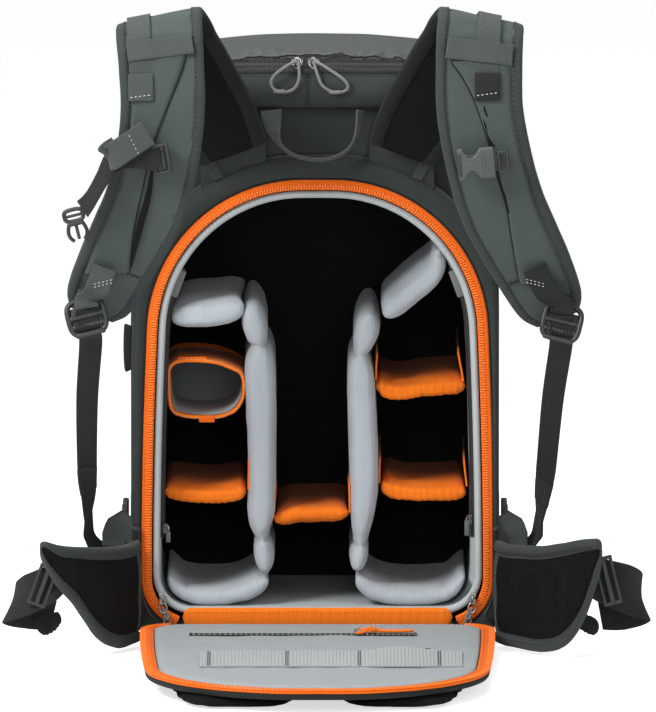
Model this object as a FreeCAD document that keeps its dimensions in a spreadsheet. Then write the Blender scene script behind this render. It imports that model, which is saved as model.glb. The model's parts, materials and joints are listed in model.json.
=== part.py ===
import FreeCAD, Part
import Sketcher
import math
import os

# Camera backpack with a zip-open back panel, standing on its base with the door folded
# down onto the floor.  Millimetres, +Z up, origin on the floor at the middle of the
# body's back plane; +Y runs into the pack, -Y to the wearer.  Left is -X, right is +X.

V = FreeCAD.Vector
X_AXIS, Y_AXIS = (1, 0, 0), (0, 1, 0)
SIDES = {"left": -1, "right": 1}

doc = FreeCAD.newDocument("camera_backpack")

# ---------------------------------------------------------------- size table
SIZES = {
    # opening of the back panel
    "open_half": 158, "open_base": 14, "open_corner": 46,
    "open_bow": 4928, "open_shoulder": 140, "open_top": 420,
    # pack body
    "body_half": 169, "body_corner": 42, "body_side": 292, "body_bow": 620,
    "body_shoulder": 62, "body_top": 519, "body_back": 9, "body_depth": 217,
    "front_round": 34, "cavity_depth": 205,
    # frame panel round the opening
    "frame_thick": 8.4, "frame_proud": 0.4, "frame_top": 441, "frame_shoulder": 150,
    "frame_side_drop": 42,
    # compartment liner
    "liner_inset": 10, "liner_lift": 12, "liner_wall": 6, "liner_depth": 199, "liner_back": 9.6,
    # zip round the opening, and the padded band at the hinge
    "zip_width": 10, "zip_thick": 2, "seam_gap": 0.5,
    "gusset_half": 121, "gusset_deep": 8, "gusset_tall": 18.5,
    # base board and the slot it sits in
    "base_wide": 280, "base_deep": 180, "base_thick": 3,
    "slot_half": 142, "slot_low": 7.2, "slot_high": 11.8, "slot_short": 10,
    # lid and top pocket
    "lid_half": 119, "lid_deep": 190,
    "top_pocket_half": 104, "top_pocket_back": 42, "top_pocket_deep": 150,
    "top_pocket_down": 62,
    # door, drawn closed
    "door_inset": 1, "door_thick": 6, "door_lift": 28, "door_corner_in": 10, "door_y": -18,
    "door_line_in": 11.2, "door_line_thick": 4, "door_line_lift": 4, "door_line_y": -11.5,
    "door_zip_lift": 3, "door_zip_extra": 1,
    "hinge_y": -5, "hinge_z": 24, "pad_thick": 9, "pad_face_y": -18.6,
    # dividers and shelves
    "divider_back": 12, "divider_deep": 176, "cradle_thick": 9,
    "shelf_set_in": 13, "shelf_thick": 7.5, "shelf_deep": 165,
    # straps, belt, sliders and handle
    "strap_thick": 12, "web_thick": 1.8, "web_wide": 20, "web_gap": 1.8, "belt_thick": 13,
    "slider_long": 14, "slider_wide": 9, "slider_thick": 4.6,
    "handle_wide": 13, "handle_thick": 2.4,
}
sheet = doc.addObject("Spreadsheet::Sheet", "dims")
for row, (alias, value) in enumerate(SIZES.items(), 1):
    sheet.set("A%d" % row, alias)
    sheet.set("B%d" % row, str(value))
    sheet.setAlias("B%d" % row, alias)
doc.recompute()


def dim(name):
    return float(sheet.get(name))


def value_of(expr):
    """Value of a spaced sum of sizes and numbers, such as 'dims.open_half - 3'."""
    total, sign = 0.0, 1.0
    for token in expr.split():
        if token in "+-":
            sign = 1.0 if token == "+" else -1.0
        else:
            number = dim(token[5:]) if token.startswith("dims.") else float(token)
            total += sign * number
    return total


parts = []


def keep(obj, label):
    obj.Label = label
    parts.append(obj)
    return obj


# ---------------------------------------------------------------- arch outlines
# half_width at the widest, base height, bottom corner radius, side bow radius,
# shoulder radius, top height; side is the top of a straight side wall, if there is one.
OPENING = dict(half_width="dims.open_half", base="dims.open_base", corner="dims.open_corner",
               bow="dims.open_bow", shoulder="dims.open_shoulder", top="dims.open_top")
BODY = dict(half_width="dims.body_half", base="0", corner="dims.body_corner",
            bow="dims.body_bow", shoulder="dims.body_shoulder", top="dims.body_top",
            side="dims.body_side")


def inset(shape, amount, lift=None):
    """The outline moved inwards by amount, with its base raised by lift."""
    result = {key: expr + " - " + amount for key, expr in shape.items()}
    result["base"] = shape["base"] + " + " + (lift or amount)
    return result


def outset(shape, amount):
    """The outline moved outwards by amount."""
    result = {key: expr + " + " + amount for key, expr in shape.items()}
    result["base"] = shape["base"] + " - " + amount
    return result


def plane_sketch(body, name, plane_role):
    sketch = body.newObject("Sketcher::SketchObject", name)
    plane = [f for f in body.Origin.OriginFeatures if f.Role == plane_role][0]
    sketch.AttachmentSupport = [(plane, "")]
    sketch.MapMode = "FlatFace"
    return sketch


def arch_sketch(body, name, y_expr, shape):
    """Closed arch outline, constrained and bound to the size table, at a given Y."""
    sketch = plane_sketch(body, name, "XZ_Plane")
    size = {key: value_of(expr) for key, expr in shape.items()}
    half, base, top = size["half_width"], size["base"], size["top"]
    corner, bow, shoulder = size["corner"], size["bow"], size["shoulder"]
    has_side = "side" in size

    # arc centres, and the angle where bow and shoulder meet
    corner_x, corner_z = half - corner, base + corner
    bow_x, bow_z = half - bow, size.get("side", corner_z)
    shoulder_z = top - shoulder
    rise = shoulder_z - bow_z
    shoulder_x = bow_x + math.sqrt((bow - shoulder) ** 2 - rise ** 2)
    meet = math.atan2(rise, shoulder_x - bow_x)
    pi = math.pi

    def line(x0, z0, x1, z1):
        return Part.LineSegment(V(x0, z0, 0), V(x1, z1, 0))

    def arc(x, z, radius, start, end):
        return Part.ArcOfCircle(Part.Circle(V(x, z, 0), V(0, 0, 1), radius), start, end)

    # counter-clockwise from the base line
    curves = [line(-corner_x, base, corner_x, base),
              arc(corner_x, corner_z, corner, -pi / 2, 0)]
    if has_side:
        curves.append(line(half, corner_z, half, bow_z))
    bow_i = len(curves)
    curves += [arc(bow_x, bow_z, bow, 0, meet),
               arc(shoulder_x, shoulder_z, shoulder, meet, pi / 2)]
    top_i = len(curves)
    curves += [line(shoulder_x, top, -shoulder_x, top),
               arc(-shoulder_x, shoulder_z, shoulder, pi / 2, pi - meet),
               arc(-bow_x, bow_z, bow, pi - meet, pi)]
    if has_side:
        curves.append(line(-half, bow_z, -half, corner_z))
    curves.append(arc(-corner_x, corner_z, corner, pi, 1.5 * pi))
    sketch.addGeometry(curves, False)

    rule = Sketcher.Constraint
    count = len(curves)
    last = count - 1
    rules = [rule("Tangent", i, 2, (i + 1) % count, 1) for i in range(count)]
    rules += [rule("Symmetric", 0, 1, 0, 2, -2),
              rule("Symmetric", top_i, 1, top_i, 2, -2),
              rule("Equal", 1, last),
              rule("Equal", bow_i, top_i + 2),
              rule("Equal", bow_i + 1, top_i + 1)]
    if not has_side:
        rules.append(rule("Horizontal", bow_i, 3, bow_i, 1))
    sketch.addConstraint(rules)

    driven = {"half_width": rule("DistanceX", -1, 1, bow_i, 1, half),
              "corner": rule("Radius", 1, corner),
              "bow": rule("Radius", bow_i, bow),
              "shoulder": rule("Radius", bow_i + 1, shoulder),
              "top": rule("DistanceY", -1, 1, top_i, 1, top)}
    if has_side:
        driven["side"] = rule("DistanceY", -1, 1, bow_i, 1, bow_z)
        sketch.addConstraint(rule("Equal", 2, last - 1))
    if base:
        driven["base"] = rule("DistanceY", -1, 1, 0, 1, base)
    else:
        sketch.addConstraint(rule("PointOnObject", 0, 1, -1))  # stands on the floor
    for key, constraint in driven.items():
        sketch.renameConstraint(sketch.addConstraint(constraint), key)
        sketch.setExpression("Constraints." + key, shape[key])
    # the sketch normal points to -Y
    sketch.setExpression("AttachmentOffset.Base.z", "-(" + y_expr + ")")
    return sketch


def rect_sketch(body, name, plane_role, half_width, low, high, offset_expr=None):
    """Rectangle centred on X = 0, from low to high along the sketch's second axis."""
    sketch = plane_sketch(body, name, plane_role)
    corners = [V(-half_width, low, 0), V(half_width, low, 0),
               V(half_width, high, 0), V(-half_width, high, 0)]
    sketch.addGeometry([Part.LineSegment(corners[i], corners[(i + 1) % 4])
                        for i in range(4)], False)
    sketch.addConstraint([Sketcher.Constraint("Coincident", i, 2, (i + 1) % 4, 1)
                          for i in range(4)])
    if offset_expr:
        sketch.setExpression("AttachmentOffset.Base.z", offset_expr)
    return sketch


def new_body(label):
    return keep(doc.addObject("PartDesign::Body", label), label)


def pad(body, sketch, length_expr):
    """Pad towards +Y."""
    feature = body.newObject("PartDesign::Pad", "pad")
    feature.Profile = sketch
    feature.setExpression("Length", length_expr)
    feature.Reversed = True
    body.Tip = feature
    doc.recompute()
    return feature


def pocket(body, sketch, name, length_expr=None):
    """Pocket of a given length, or through everything when there is none."""
    before = body.Shape.Volume
    feature = body.newObject("PartDesign::Pocket", name)
    feature.Profile = sketch
    if length_expr:
        feature.setExpression("Length", length_expr)
    else:
        feature.Type = 1
        feature.Midplane = True
    body.Tip = feature
    doc.recompute()
    assert body.Shape.Volume < before - 10, (body.Label, name, "cut nothing")


def zip_track(label, y_expr, outer, inner, thick_expr, gap):
    """Arch-shaped tape, open at the hinge; gap is (half width, low Z, high Z)."""
    body = new_body(label)
    pad(body, arch_sketch(body, "track_outer", y_expr, outer), thick_expr)
    pocket(body, arch_sketch(body, "track_inner", y_expr, inner), "track_window")
    pocket(body, rect_sketch(body, "track_gap", "XZ_Plane", *gap), "hinge_gap")
    return body


# ---------------------------------------------------------------- pack body
LINER = inset(OPENING, "dims.liner_inset", "dims.liner_lift")
front_y = dim("body_back") + dim("body_depth")


def make_shell():
    shell = new_body("outer_shell")
    base_pad = pad(shell, arch_sketch(shell, "shell_outline", "dims.body_back", BODY),
                   "dims.body_depth")
    fillet = shell.newObject("PartDesign::Fillet", "front_round")
    fillet.Base = (base_pad, ["Edge%d" % i for i, edge in enumerate(shell.Shape.Edges, 1)
                              if all(abs(v.Point.y - front_y) < 1e-6 for v in edge.Vertexes)])
    fillet.setExpression("Radius", "dims.front_round")
    shell.Tip = fillet
    doc.recompute()

    cavity = outset(LINER, "dims.seam_gap")
    pocket(shell, arch_sketch(shell, "cavity_outline", "dims.body_back", cavity),
           "camera_cavity", "dims.cavity_depth")
    pocket_back = dim("top_pocket_back")
    mouth = rect_sketch(shell, "top_pocket_mouth", "XY_Plane", dim("top_pocket_half"),
                        pocket_back, pocket_back + dim("top_pocket_deep"), "dims.body_top")
    pocket(shell, mouth, "top_pocket", "dims.top_pocket_down")
    slot = rect_sketch(shell, "board_slot", "XZ_Plane", dim("slot_half"),
                       dim("slot_low"), dim("slot_high"), "-dims.body_back")
    pocket(shell, slot, "board_pocket", "dims.cavity_depth - dims.slot_short")


def make_frame():
    frame = new_body("back_frame_panel")
    shape = dict(BODY, top="dims.frame_top", shoulder="dims.frame_shoulder",
                 side="dims.body_side - dims.frame_side_drop")
    pad(frame, arch_sketch(frame, "frame_outline", "0 - dims.frame_proud", shape),
        "dims.frame_thick")
    window = outset(OPENING, "dims.seam_gap")
    pocket(frame, arch_sketch(frame, "frame_window", "0", window), "window")


def make_liner():
    liner = new_body("compartment_liner")
    pad(liner, arch_sketch(liner, "liner_outline", "dims.liner_back", LINER),
        "dims.liner_depth")
    hollow = inset(LINER, "dims.liner_wall")
    pocket(liner, arch_sketch(liner, "liner_hollow", "dims.liner_back", hollow),
           "hollow", "dims.liner_depth - dims.liner_wall")


make_shell()
make_frame()
make_liner()
zip_track("body_zip_track", "0 - dims.seam_gap", OPENING, inset(OPENING, "dims.zip_width"),
          "dims.zip_thick", gap=(126, 5, 42))


# ---------------------------------------------------------------- shape helpers
def solid(label, shape):
    return keep(doc.addObject("Part::Feature", label), label) if shape is None else \
        keep_shape(label, shape)


def keep_shape(label, shape):
    feature = doc.addObject("Part::Feature", label)
    feature.Shape = shape
    return keep(feature, label)


def solid(label, shape):
    return keep_shape(label, shape)


def group(label, shapes):
    """Separate solids that move as one piece."""
    return solid(label, Part.makeCompound(shapes))


def block(centre, size, rounding=0.0, axis=None, angle=0.0):
    """Block with every edge rounded, turned about its own centre."""
    x, y, z = size
    shape = Part.makeBox(x, y, z, V(-x / 2, -y / 2, -z / 2))
    if rounding > 0:
        shape = shape.makeFillet(rounding, shape.Edges)
    if axis:
        shape.rotate(V(0, 0, 0), V(*axis), angle)
    shape.translate(V(*centre))
    return shape


def polygon(points):
    return Part.makePolygon(points + [points[0]])


def prism_y(points, y0, y1):
    """Polygon of (x, z) points run from y0 to y1."""
    return Part.Face(polygon([V(x, y0, z) for x, z in points])).extrude(V(0, y1 - y0, 0))


def prism_x(points, half_width):
    """Polygon of (y, z) points run from -half_width to +half_width in X."""
    face = Part.Face(polygon([V(-half_width, y, z) for y, z in points]))
    return face.extrude(V(2 * half_width, 0, 0))


def neighbours(items, i):
    return items[max(i - 1, 0)], items[min(i + 1, len(items) - 1)]


def band(points, thick, y0, y1):
    """Strip of even thickness about a centre line of (x, z) points, run in Y."""
    left, right = [], []
    for i, (x, z) in enumerate(points):
        before, after = neighbours(points, i)
        dx, dz = after[0] - before[0], after[1] - before[1]
        length = math.hypot(dx, dz)
        nx, nz = -dz / length * thick / 2, dx / length * thick / 2
        left.append((x + nx, z + nz))
        right.append((x - nx, z - nz))
    return prism_y(left + right[::-1], y0, y1)


def ribbon(stations, thick, lift=0.0, untwist=False):
    """Flat strap through stations of (centre, width direction, half width).
    lift moves it along its own normal; untwist keeps the width direction from
    flipping over between stations."""
    wires, previous = [], None
    for i, (centre, wide, half) in enumerate(stations):
        before, after = neighbours(stations, i)
        along = V(*after[0]) - V(*before[0])
        along.normalize()
        wide = V(*wide)
        wide = wide - along * wide.dot(along)
        wide.normalize()
        if untwist and previous is not None and wide.dot(previous) < 0:
            wide = wide * -1
        previous = wide
        normal = along.cross(wide)
        middle = V(*centre) + normal * lift
        across, up = wide * half, normal * (thick / 2)
        wires.append(polygon([middle + across + up, middle - across + up,
                              middle - across - up, middle + across - up]))
    return Part.makeLoft(wires, True, True)


# ---------------------------------------------------------------- base and hinge band
board = keep(doc.addObject("Part::Box", "base_board"), "base_board")
for prop, alias in (("Length", "base_wide"), ("Width", "base_deep"), ("Height", "base_thick")):
    setattr(board, prop, dim(alias))
    board.setExpression(prop, "dims." + alias)
BOARD_MID_Y, BOARD_BOTTOM = 110, 8
board.Placement.Base = V(-dim("base_wide") / 2, BOARD_MID_Y - dim("base_deep") / 2, BOARD_BOTTOM)

gusset_size = (2 * dim("gusset_half"), dim("gusset_deep"), dim("gusset_tall"))
solid("hinge_band", block((0, 2.5, 24), gusset_size, rounding=3.4))

# ---------------------------------------------------------------- upper back and lid
solid("recess_panel", prism_y([(-138, 442), (138, 442), (132, 484), (-132, 484)], 1.5, 8.4))
UPPER_PANEL = [(8.4, 484.6), (-3, 484.6), (-8.5, 491), (-9.5, 501), (-7.5, 510), (-4, 515),
               (8.4, 515)]
solid("upper_back_panel", prism_x(UPPER_PANEL, 122))
TOP_ZIP_HALF = 112
solid("top_zip_track", prism_x([(-3.6, 515.6), (9.5, 521.0), (9.5, 523.2), (-4.4, 517.8)],
                               TOP_ZIP_HALF))
solid("lid_zip_track", prism_x([(10.3, 521.4), (24.6, 526.6), (24.6, 528.8), (10.3, 523.6)],
                               TOP_ZIP_HALF))
lid_front = dim("lid_deep") + 26
solid("top_lid", prism_x([(25.2, 520), (25.2, 527.2), (32, 528), (150, 528), (205, 526),
                          (lid_front, 522), (lid_front, 520)], dim("lid_half")))

# Haul handle, a loop of webbing that turns from flat to edge-on: centre, width direction
HANDLE = [
    ((-41, -12.5, 482), (1, 0, 0)), ((-39, -14.5, 467), (1, -0.2, 0.2)),
    ((-32, -18, 453), (0.75, -0.6, 0.3)), ((-19, -20, 443.5), (0.3, -1, 0.25)),
    ((-3, -21, 440.5), (0, -1, 0.25)), ((14, -20, 443.5), (-0.3, -1, 0.25)),
    ((28, -18, 453), (-0.75, -0.6, -0.1)), ((36, -14.5, 467), (-1, -0.2, -0.2)),
    ((38, -12.5, 482), (-1, 0, 0)),
]
solid("haul_handle", ribbon([(centre, wide, dim("handle_wide") / 2) for centre, wide in HANDLE],
                            dim("handle_thick"), untwist=True))

# ---------------------------------------------------------------- dividers
divider_back = dim("divider_back")
divider_front = divider_back + dim("divider_deep")
TOP_RIGHT_SHORT = 20  # the top right divider stops this far short of the others

# (x, z) outlines
DIVIDERS = {
    "divider_left_long": [
        (-65, 297), (-48, 297), (-48, 268), (-40, 262), (-38.5, 170), (-41, 92), (-41, 62),
        (-55, 62), (-55, 92), (-61.5, 170), (-62, 262), (-65, 268)],
    "divider_right_long": [
        (34, 297), (53, 297), (53.5, 262), (53, 170), (51, 90), (44, 84), (44, 58),
        (30.5, 58), (30.5, 84), (29, 170), (30, 258), (34, 262)],
    "divider_top_left": [(-132.2, 286), (-66, 287), (-66, 303.5), (-130.2, 303.5)],
    "divider_top_right": [
        (54.5, 284), (62, 288), (112, 329), (117, 338), (110, 350), (102.5, 350), (54.5, 303)],
}
for label, points in DIVIDERS.items():
    short = TOP_RIGHT_SHORT if label == "divider_top_right" else 0
    solid(label, prism_y(points, divider_back, divider_front - short))

# (x, z) centre lines
CRADLES = [
    [(-46, 52), (-62, 44.5), (-88, 40), (-112, 41), (-127, 52), (-131, 62)],
    [(35, 50), (52, 43.5), (78, 40), (112, 41), (127, 52), (131, 62)],
]
group("floor_cradles", [band(points, dim("cradle_thick"), divider_back, divider_front)
                        for points in CRADLES])

SHELVES = {
    "shelf_left": [(-137.4, 132.4), (-120, 130.5), (-100, 130), (-80, 131), (-63, 132.5)],
    "shelf_centre": [(-36.8, 106), (-20, 105), (-4, 105), (12, 107), (26.5, 109)],
    "shelf_right_upper": [(55.5, 226), (76, 222), (98, 221), (118, 223.5), (135.2, 227.6)],
    "shelf_right_lower": [(55.5, 140), (76, 135), (98, 133.5), (119, 134.6), (137.3, 138.2)],
}
shelf_back = divider_back + dim("shelf_set_in")
for label, points in SHELVES.items():
    solid(label, band(points, dim("shelf_thick"), shelf_back, shelf_back + dim("shelf_deep")))

# open-topped pouch, also open towards the wearer
solid("small_pouch", block((-99, 75, 226), (70.6, 100, 54), rounding=6)
      .cut(block((-99, 71, 230), (63.6, 108, 56))))

# zips on the two side walls of the compartment: (distance from the middle, z)
WALL_ZIP = [(130.5, 314), (133.4, 300), (135.2, 280), (136.2, 260), (138.3, 200),
            (139.4, 150), (140.1, 95)]
group("wall_zips", [band([(sign * x, z) for x, z in WALL_ZIP], 2.4, 14, 22)
                    for sign in SIDES.values()])
solid("wall_slider_right", block((135.6, 17.5, 108), (5, 9, 20), rounding=1.4))
solid("wall_slider_left", block((-135.6, 17.5, 100), (5, 9, 14), rounding=1.4))


# ---------------------------------------------------------------- zip sliders
def main_slider(side, sign):
    """Slider and its pull at the lower end of the main zip."""
    thick = dim("slider_thick")
    slider = block((sign * 138.5, -1.2 - thick / 2, 42),
                   (dim("slider_wide"), thick, dim("slider_long")),
                   rounding=1.2, axis=Y_AXIS, angle=sign * 14)
    pull = block((sign * 133, -3.4, 21), (6, 3.4, 24), rounding=1.2, axis=Y_AXIS,
                 angle=sign * 10)
    group("main_slider_" + side, [slider, pull])


def top_slider(side, slider_x, loop_x):
    """Slider of the top zip with a round cord loop hanging from it."""
    cord_radius, loop_y = 1.4, -14.5
    loop = Part.makeTorus(11, cord_radius)
    loop.rotate(V(0, 0, 0), V(*X_AXIS), 90)
    loop.translate(V(loop_x, loop_y, 504))
    top = V(slider_x, -9.5, 519)
    foot = V(loop_x + (slider_x - loop_x) * 0.3, loop_y, 513.2)
    stem = Part.makeCylinder(cord_radius, (top - foot).Length, foot, top - foot)
    slider = block((slider_x, 1.0, 524.6), (8, 10, 4.6), rounding=1.2, axis=X_AXIS, angle=20)
    group("top_slider_" + side, [slider, loop.fuse(stem)])


for side, sign in SIDES.items():
    main_slider(side, sign)
top_slider("left", slider_x=-18, loop_x=-32)
top_slider("right", slider_x=-3.5, loop_x=13)

# ---------------------------------------------------------------- shoulder straps
# pad centre, half width; from the upper back over the crown and down to the tip
STRAP = {
    "left": [
        ((-75.5, -20, 447), 31.5), ((-91, -36, 480), 37), ((-106.5, -53, 511), 38),
        ((-123, -74, 545), 38), ((-135.5, -96, 569), 38), ((-140, -114, 575.5), 38),
        ((-140, -129, 565), 38), ((-138.3, -138, 541), 37.5), ((-137, -142, 500), 37),
        ((-142.3, -138, 455), 36.5), ((-152.4, -130, 416), 36.5), ((-166, -120, 384.5), 36),
        ((-179.4, -108, 357), 34), ((-194, -95, 324.5), 30), ((-200.4, -89, 310), 20)],
    "right": [
        ((75.5, -20, 447), 31.5), ((92, -36, 480), 37), ((108.5, -53, 511), 38),
        ((126, -74, 545), 38), ((140, -96, 569), 38), ((144.7, -114, 575.5), 38),
        ((144, -129, 565), 38), ((143.3, -138, 541), 38), ((144, -142, 500), 38),
        ((152, -138, 455), 38), ((162.7, -130, 416), 38), ((176.7, -120, 384.5), 37),
        ((190.6, -108, 356), 35), ((206.4, -95, 322), 30), ((213.8, -89, 306), 20)],
}
# rows of STRAP that other pieces follow
LIFTER_ROWS, KEEPER_ROW, ANCHOR_ROWS = slice(4, 9), 7, (12, 13)
CROWN_ROLL = 0.22

# webbing from ladder lock to body side: centre, width direction, half width
ADJUST_WEB = {
    "left": [((-201.5, -98, 291), (1, 0.1, 0), 11), ((-205, -72, 231), (1, 0, 0), 10.5),
             ((-205.8, -40, 164), (1, 0, 0), 10), ((-202.5, -16, 124), (0.8, 0.6, 0), 8),
             ((-200.5, -5.6, 100), (1, 0.1, 0), 9)],
    "right": [((216, -98, 286), (1, -0.1, 0), 11), ((209.4, -72, 231), (1, 0, 0), 10.5),
              ((203.5, -40, 164), (1, 0, 0), 10), ((200, -16, 124), (0.8, -0.6, 0), 8),
              ((199, -5.6, 100), (1, -0.1, 0), 9)],
}
LADDER_LOCK = {"left": (-205, -115.5, 312), "right": (217, -115.5, 307)}


def strap_stations(rows, half_width=None, shift=0.0):
    """Ribbon stations along strap rows, rolled a little at the crown."""
    stations = []
    for (x, y, z), half in rows:
        at_crown = y < -90 and z > 560
        roll = math.copysign(CROWN_ROLL, -x) if at_crown else 0.0
        stations.append(((x + shift, y, z), (1, 0, roll), half_width or half))
    return stations


def load_lifter(side, sign):
    """Webbing over the crown on the strap's outer face, with a cross strip."""
    thick, strap_half = dim("web_thick"), dim("strap_thick") / 2
    web = ribbon(strap_stations(STRAP[side][LIFTER_ROWS], dim("web_wide") / 2, sign * 2.0),
                 thick, lift=strap_half + thick / 2 + dim("web_gap"))
    x, y, _ = STRAP[side][KEEPER_ROW][0]
    keeper_y = y - strap_half - 5.6
    keeper = ribbon([((x + dx, keeper_y, 553), (0, 0, 1), 8.5) for dx in (-31, 0, 31)], thick)
    group("load_lifter_" + side, [web, keeper])


def anchor_web(side, sign):
    """Short webbing on the lower end of the strap."""
    upper, lower = [STRAP[side][row][0] for row in ANCHOR_ROWS]
    stations = [((upper[0] - sign * 3, upper[1] - 12.4, upper[2] - 4), (1, 0, 0), 11),
                ((lower[0] - sign * 5, lower[1] - 14.5, lower[2] + 9), (1, 0, 0), 11)]
    solid("anchor_web_" + side, ribbon(stations, 2.2))


def ladder_lock(side, sign):
    """Plastic frame with two slots at the strap tip."""
    lock = block((0, 0, 0), (36, 6, 34), rounding=1.6)
    for z in (7, -7):
        lock = lock.cut(block((0, 0, z), (24, 12, 6)))
    lock.rotate(V(0, 0, 0), V(*Y_AXIS), sign * -14)
    lock.rotate(V(0, 0, 0), V(*X_AXIS), -16)
    lock.translate(V(*LADDER_LOCK[side]))
    solid("ladder_lock_" + side, lock)


anchors, adjust_webs = [], []
for side, sign in SIDES.items():
    solid("strap_pad_" + side, ribbon(strap_stations(STRAP[side]), dim("strap_thick")))
    load_lifter(side, sign)
    anchors.append(prism_y([(sign * 34, 447), (sign * 104, 440), (sign * 104, 428),
                            (sign * 34, 430)], -3.6, -0.9))
    anchor_web(side, sign)
    ladder_lock(side, sign)
    adjust_webs.append(ribbon(ADJUST_WEB[side], 2.0))
    # sewn tab at the lower end of the webbing
    adjust_webs.append(prism_y([(sign * 170, 99), (sign * 170, 120), (sign * 208, 110),
                                (sign * 208, 99)], -2.6, -0.9))
group("strap_anchors", anchors)
group("adjust_webs", adjust_webs)

# sternum strap: a hanging strap and buckle on the left, the other buckle on the right
STERNUM_WEB = [
    ((-146.5, -158, 461), (0, 0, 1), 9), ((-163, -160, 475), (0.2, 0, 1), 10),
    ((-178, -159.5, 470), (0.6, 0, 1), 9), ((-189, -157, 452), (1, 0, 0.5), 9),
    ((-199, -154, 432), (1, 0, 0.4), 9), ((-206, -151, 418), (1, 0, 0.3), 8.5),
]
group("sternum_strap_left", [block((-137.5, -157.5, 459), (15, 6, 27), rounding=1.8),
                             ribbon(STERNUM_WEB, 1.8)])
solid("sternum_buckle_left", block((-214, -147, 399), (17, 8, 31), rounding=2.4,
                                   axis=Y_AXIS, angle=-16))
group("sternum_buckle_right", [block((123, -157.5, 455), (12, 6, 26), rounding=1.8),
                               block((146, -158, 455), (30, 8, 29), rounding=3.0,
                                     axis=Y_AXIS, angle=4)])

# ---------------------------------------------------------------- waist belt
# distance from the middle, y, z, half height
BELT_WING = {
    "left": [(173, -9, 50, 46), (181.5, -26, 49, 46), (191.5, -46, 50, 46), (207, -66, 57, 41),
             (226, -84, 74, 27), (241, -94, 85, 19), (256, -101, 101, 9)],
    "right": [(173, -9, 50, 46), (182, -26, 49, 46), (195, -46, 50, 47), (212, -64, 51, 48),
              (230, -80, 57, 47), (246, -92, 72, 37), (262, -101, 98, 13)],
}
# centre, width direction, half width
BELT_WEB = {
    "left": [((-252, -84, 66), (0, 0.1, 1), 17), ((-266, -78, 58), (0.2, 0, 1), 18),
             ((-279, -68, 49), (0.4, 0, 1), 18), ((-276, -54, 42), (0.3, 0, 1), 18),
             ((-259, -46, 36), (0.2, 0, 1), 17)],
    "right": [((266, -82, 70), (0, 0.1, 1), 20), ((281, -78, 64), (0.1, 0, 1), 21),
              ((294, -68, 56), (-0.1, 0, 1), 21), ((292, -54, 46), (-0.2, 0, 1), 21),
              ((276, -44, 38), (-0.2, 0, 1), 20)],
}


def belt_wing(side, sign):
    """Upright padded wing of even thickness, seen from above."""
    wires = []
    path = BELT_WING[side]
    for i, (x, y, z, half) in enumerate(path):
        before, after = neighbours(path, i)
        dx, dy = after[0] - before[0], after[1] - before[1]
        length = math.hypot(dx, dy)
        nx = -dy / length * dim("belt_thick") / 2
        ny = dx / length * dim("belt_thick") / 2
        wires.append(polygon([V(sign * (x + nx), y + ny, z - half),
                              V(sign * (x + nx), y + ny, z + half),
                              V(sign * (x - nx), y - ny, z + half),
                              V(sign * (x - nx), y - ny, z - half)]))
    solid("belt_wing_" + side, Part.makeLoft(wires, True, True))


for side, sign in SIDES.items():
    belt_wing(side, sign)
    solid("belt_web_" + side, ribbon(BELT_WEB[side], 2.2))

# ---------------------------------------------------------------- body sides and front
SIDE_WEB_Z = 112
group("side_webs", [ribbon([((sign * 171.2, y, SIDE_WEB_Z), (0, 0, 1), 10) for y in (22, 180)],
                           2.0) for sign in SIDES.values()])
group("side_buckles", [block((sign * 178.2, 34, SIDE_WEB_Z), (9, 30, 30), rounding=2.5)
                       for sign in SIDES.values()])
solid("side_tab_left", ribbon([((-173, 6, 286), (0, 1, 0), 7), ((-174, 6, 248), (0, 1, 0), 7)],
                              3.0))

FRONT_ZIP_Z = 330
solid("front_pocket", block((0, front_y + 8.6, 215), (214, 16, 300), rounding=7))
solid("front_pocket_zip", block((0, front_y + 18.0, FRONT_ZIP_Z), (186, 1.8, 10), rounding=0.6))
solid("front_slider", block((-80, front_y + 21.6, FRONT_ZIP_Z), (12, 4.2, 8), rounding=1.2))

# ---------------------------------------------------------------- door, drawn closed
DOOR = dict(inset(OPENING, "dims.door_inset"), base="dims.door_lift",
            corner="dims.open_corner - dims.door_corner_in")

door = new_body("door_panel")
pad(door, arch_sketch(door, "door_outline", "dims.door_y", DOOR), "dims.door_thick")

lining = new_body("door_lining")
lining_shape = inset(DOOR, "dims.door_line_in", "dims.door_line_lift")
pad(lining, arch_sketch(lining, "lining_outline", "dims.door_line_y", lining_shape),
    "dims.door_line_thick")

door_track = zip_track("door_zip_track", "dims.door_line_y", DOOR,
                       inset(DOOR, "dims.zip_width", "dims.door_zip_lift"),
                       "dims.zip_thick + dims.door_zip_extra", gap=(132, 20, 62))

# pads on the wearer's face of the door: (distance from the middle, z)
BACK_PAD = [(12, 60), (128, 66), (138, 120), (138, 250), (124, 330), (96, 378), (60, 402),
            (22, 406), (12, 396)]
pad_face = dim("pad_face_y")
back_pads = group("back_pads", [prism_y([(sign * x, z) for x, z in BACK_PAD],
                                        pad_face - dim("pad_thick"), pad_face)
                                for sign in SIDES.values()])

# pocket zip and elastic loops on the inner face
pocket_zip = solid("door_pocket_zip", block((-13, -6.4, 109), (200, 1.4, 6), rounding=0.4))
pocket_slider = group("door_pocket_slider",
                      [block((36, -4.0, 109), (11, 2.6, 8), rounding=0.9),
                       block((64, -4.0, 108), (42, 3.2, 5), rounding=1.2)])
LOOPS = [(-62, 68), (5, 62), (73, 70)]  # x, width
elastic_loops = group("elastic_loops", [block((x, -6.0, 256), (wide, 1.8, 86), rounding=0.5)
                                        for x, wide in LOOPS])

# fold the door down about the hinge line
turn = FreeCAD.Rotation(V(*X_AXIS), 90)
hinge = V(0, dim("hinge_y"), dim("hinge_z"))
folded = FreeCAD.Placement(hinge - turn.multVec(hinge), turn)
for piece in (door, lining, door_track, back_pads, pocket_zip, pocket_slider, elastic_loops):
    piece.Placement = folded.multiply(piece.Placement)
doc.recompute()

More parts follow.
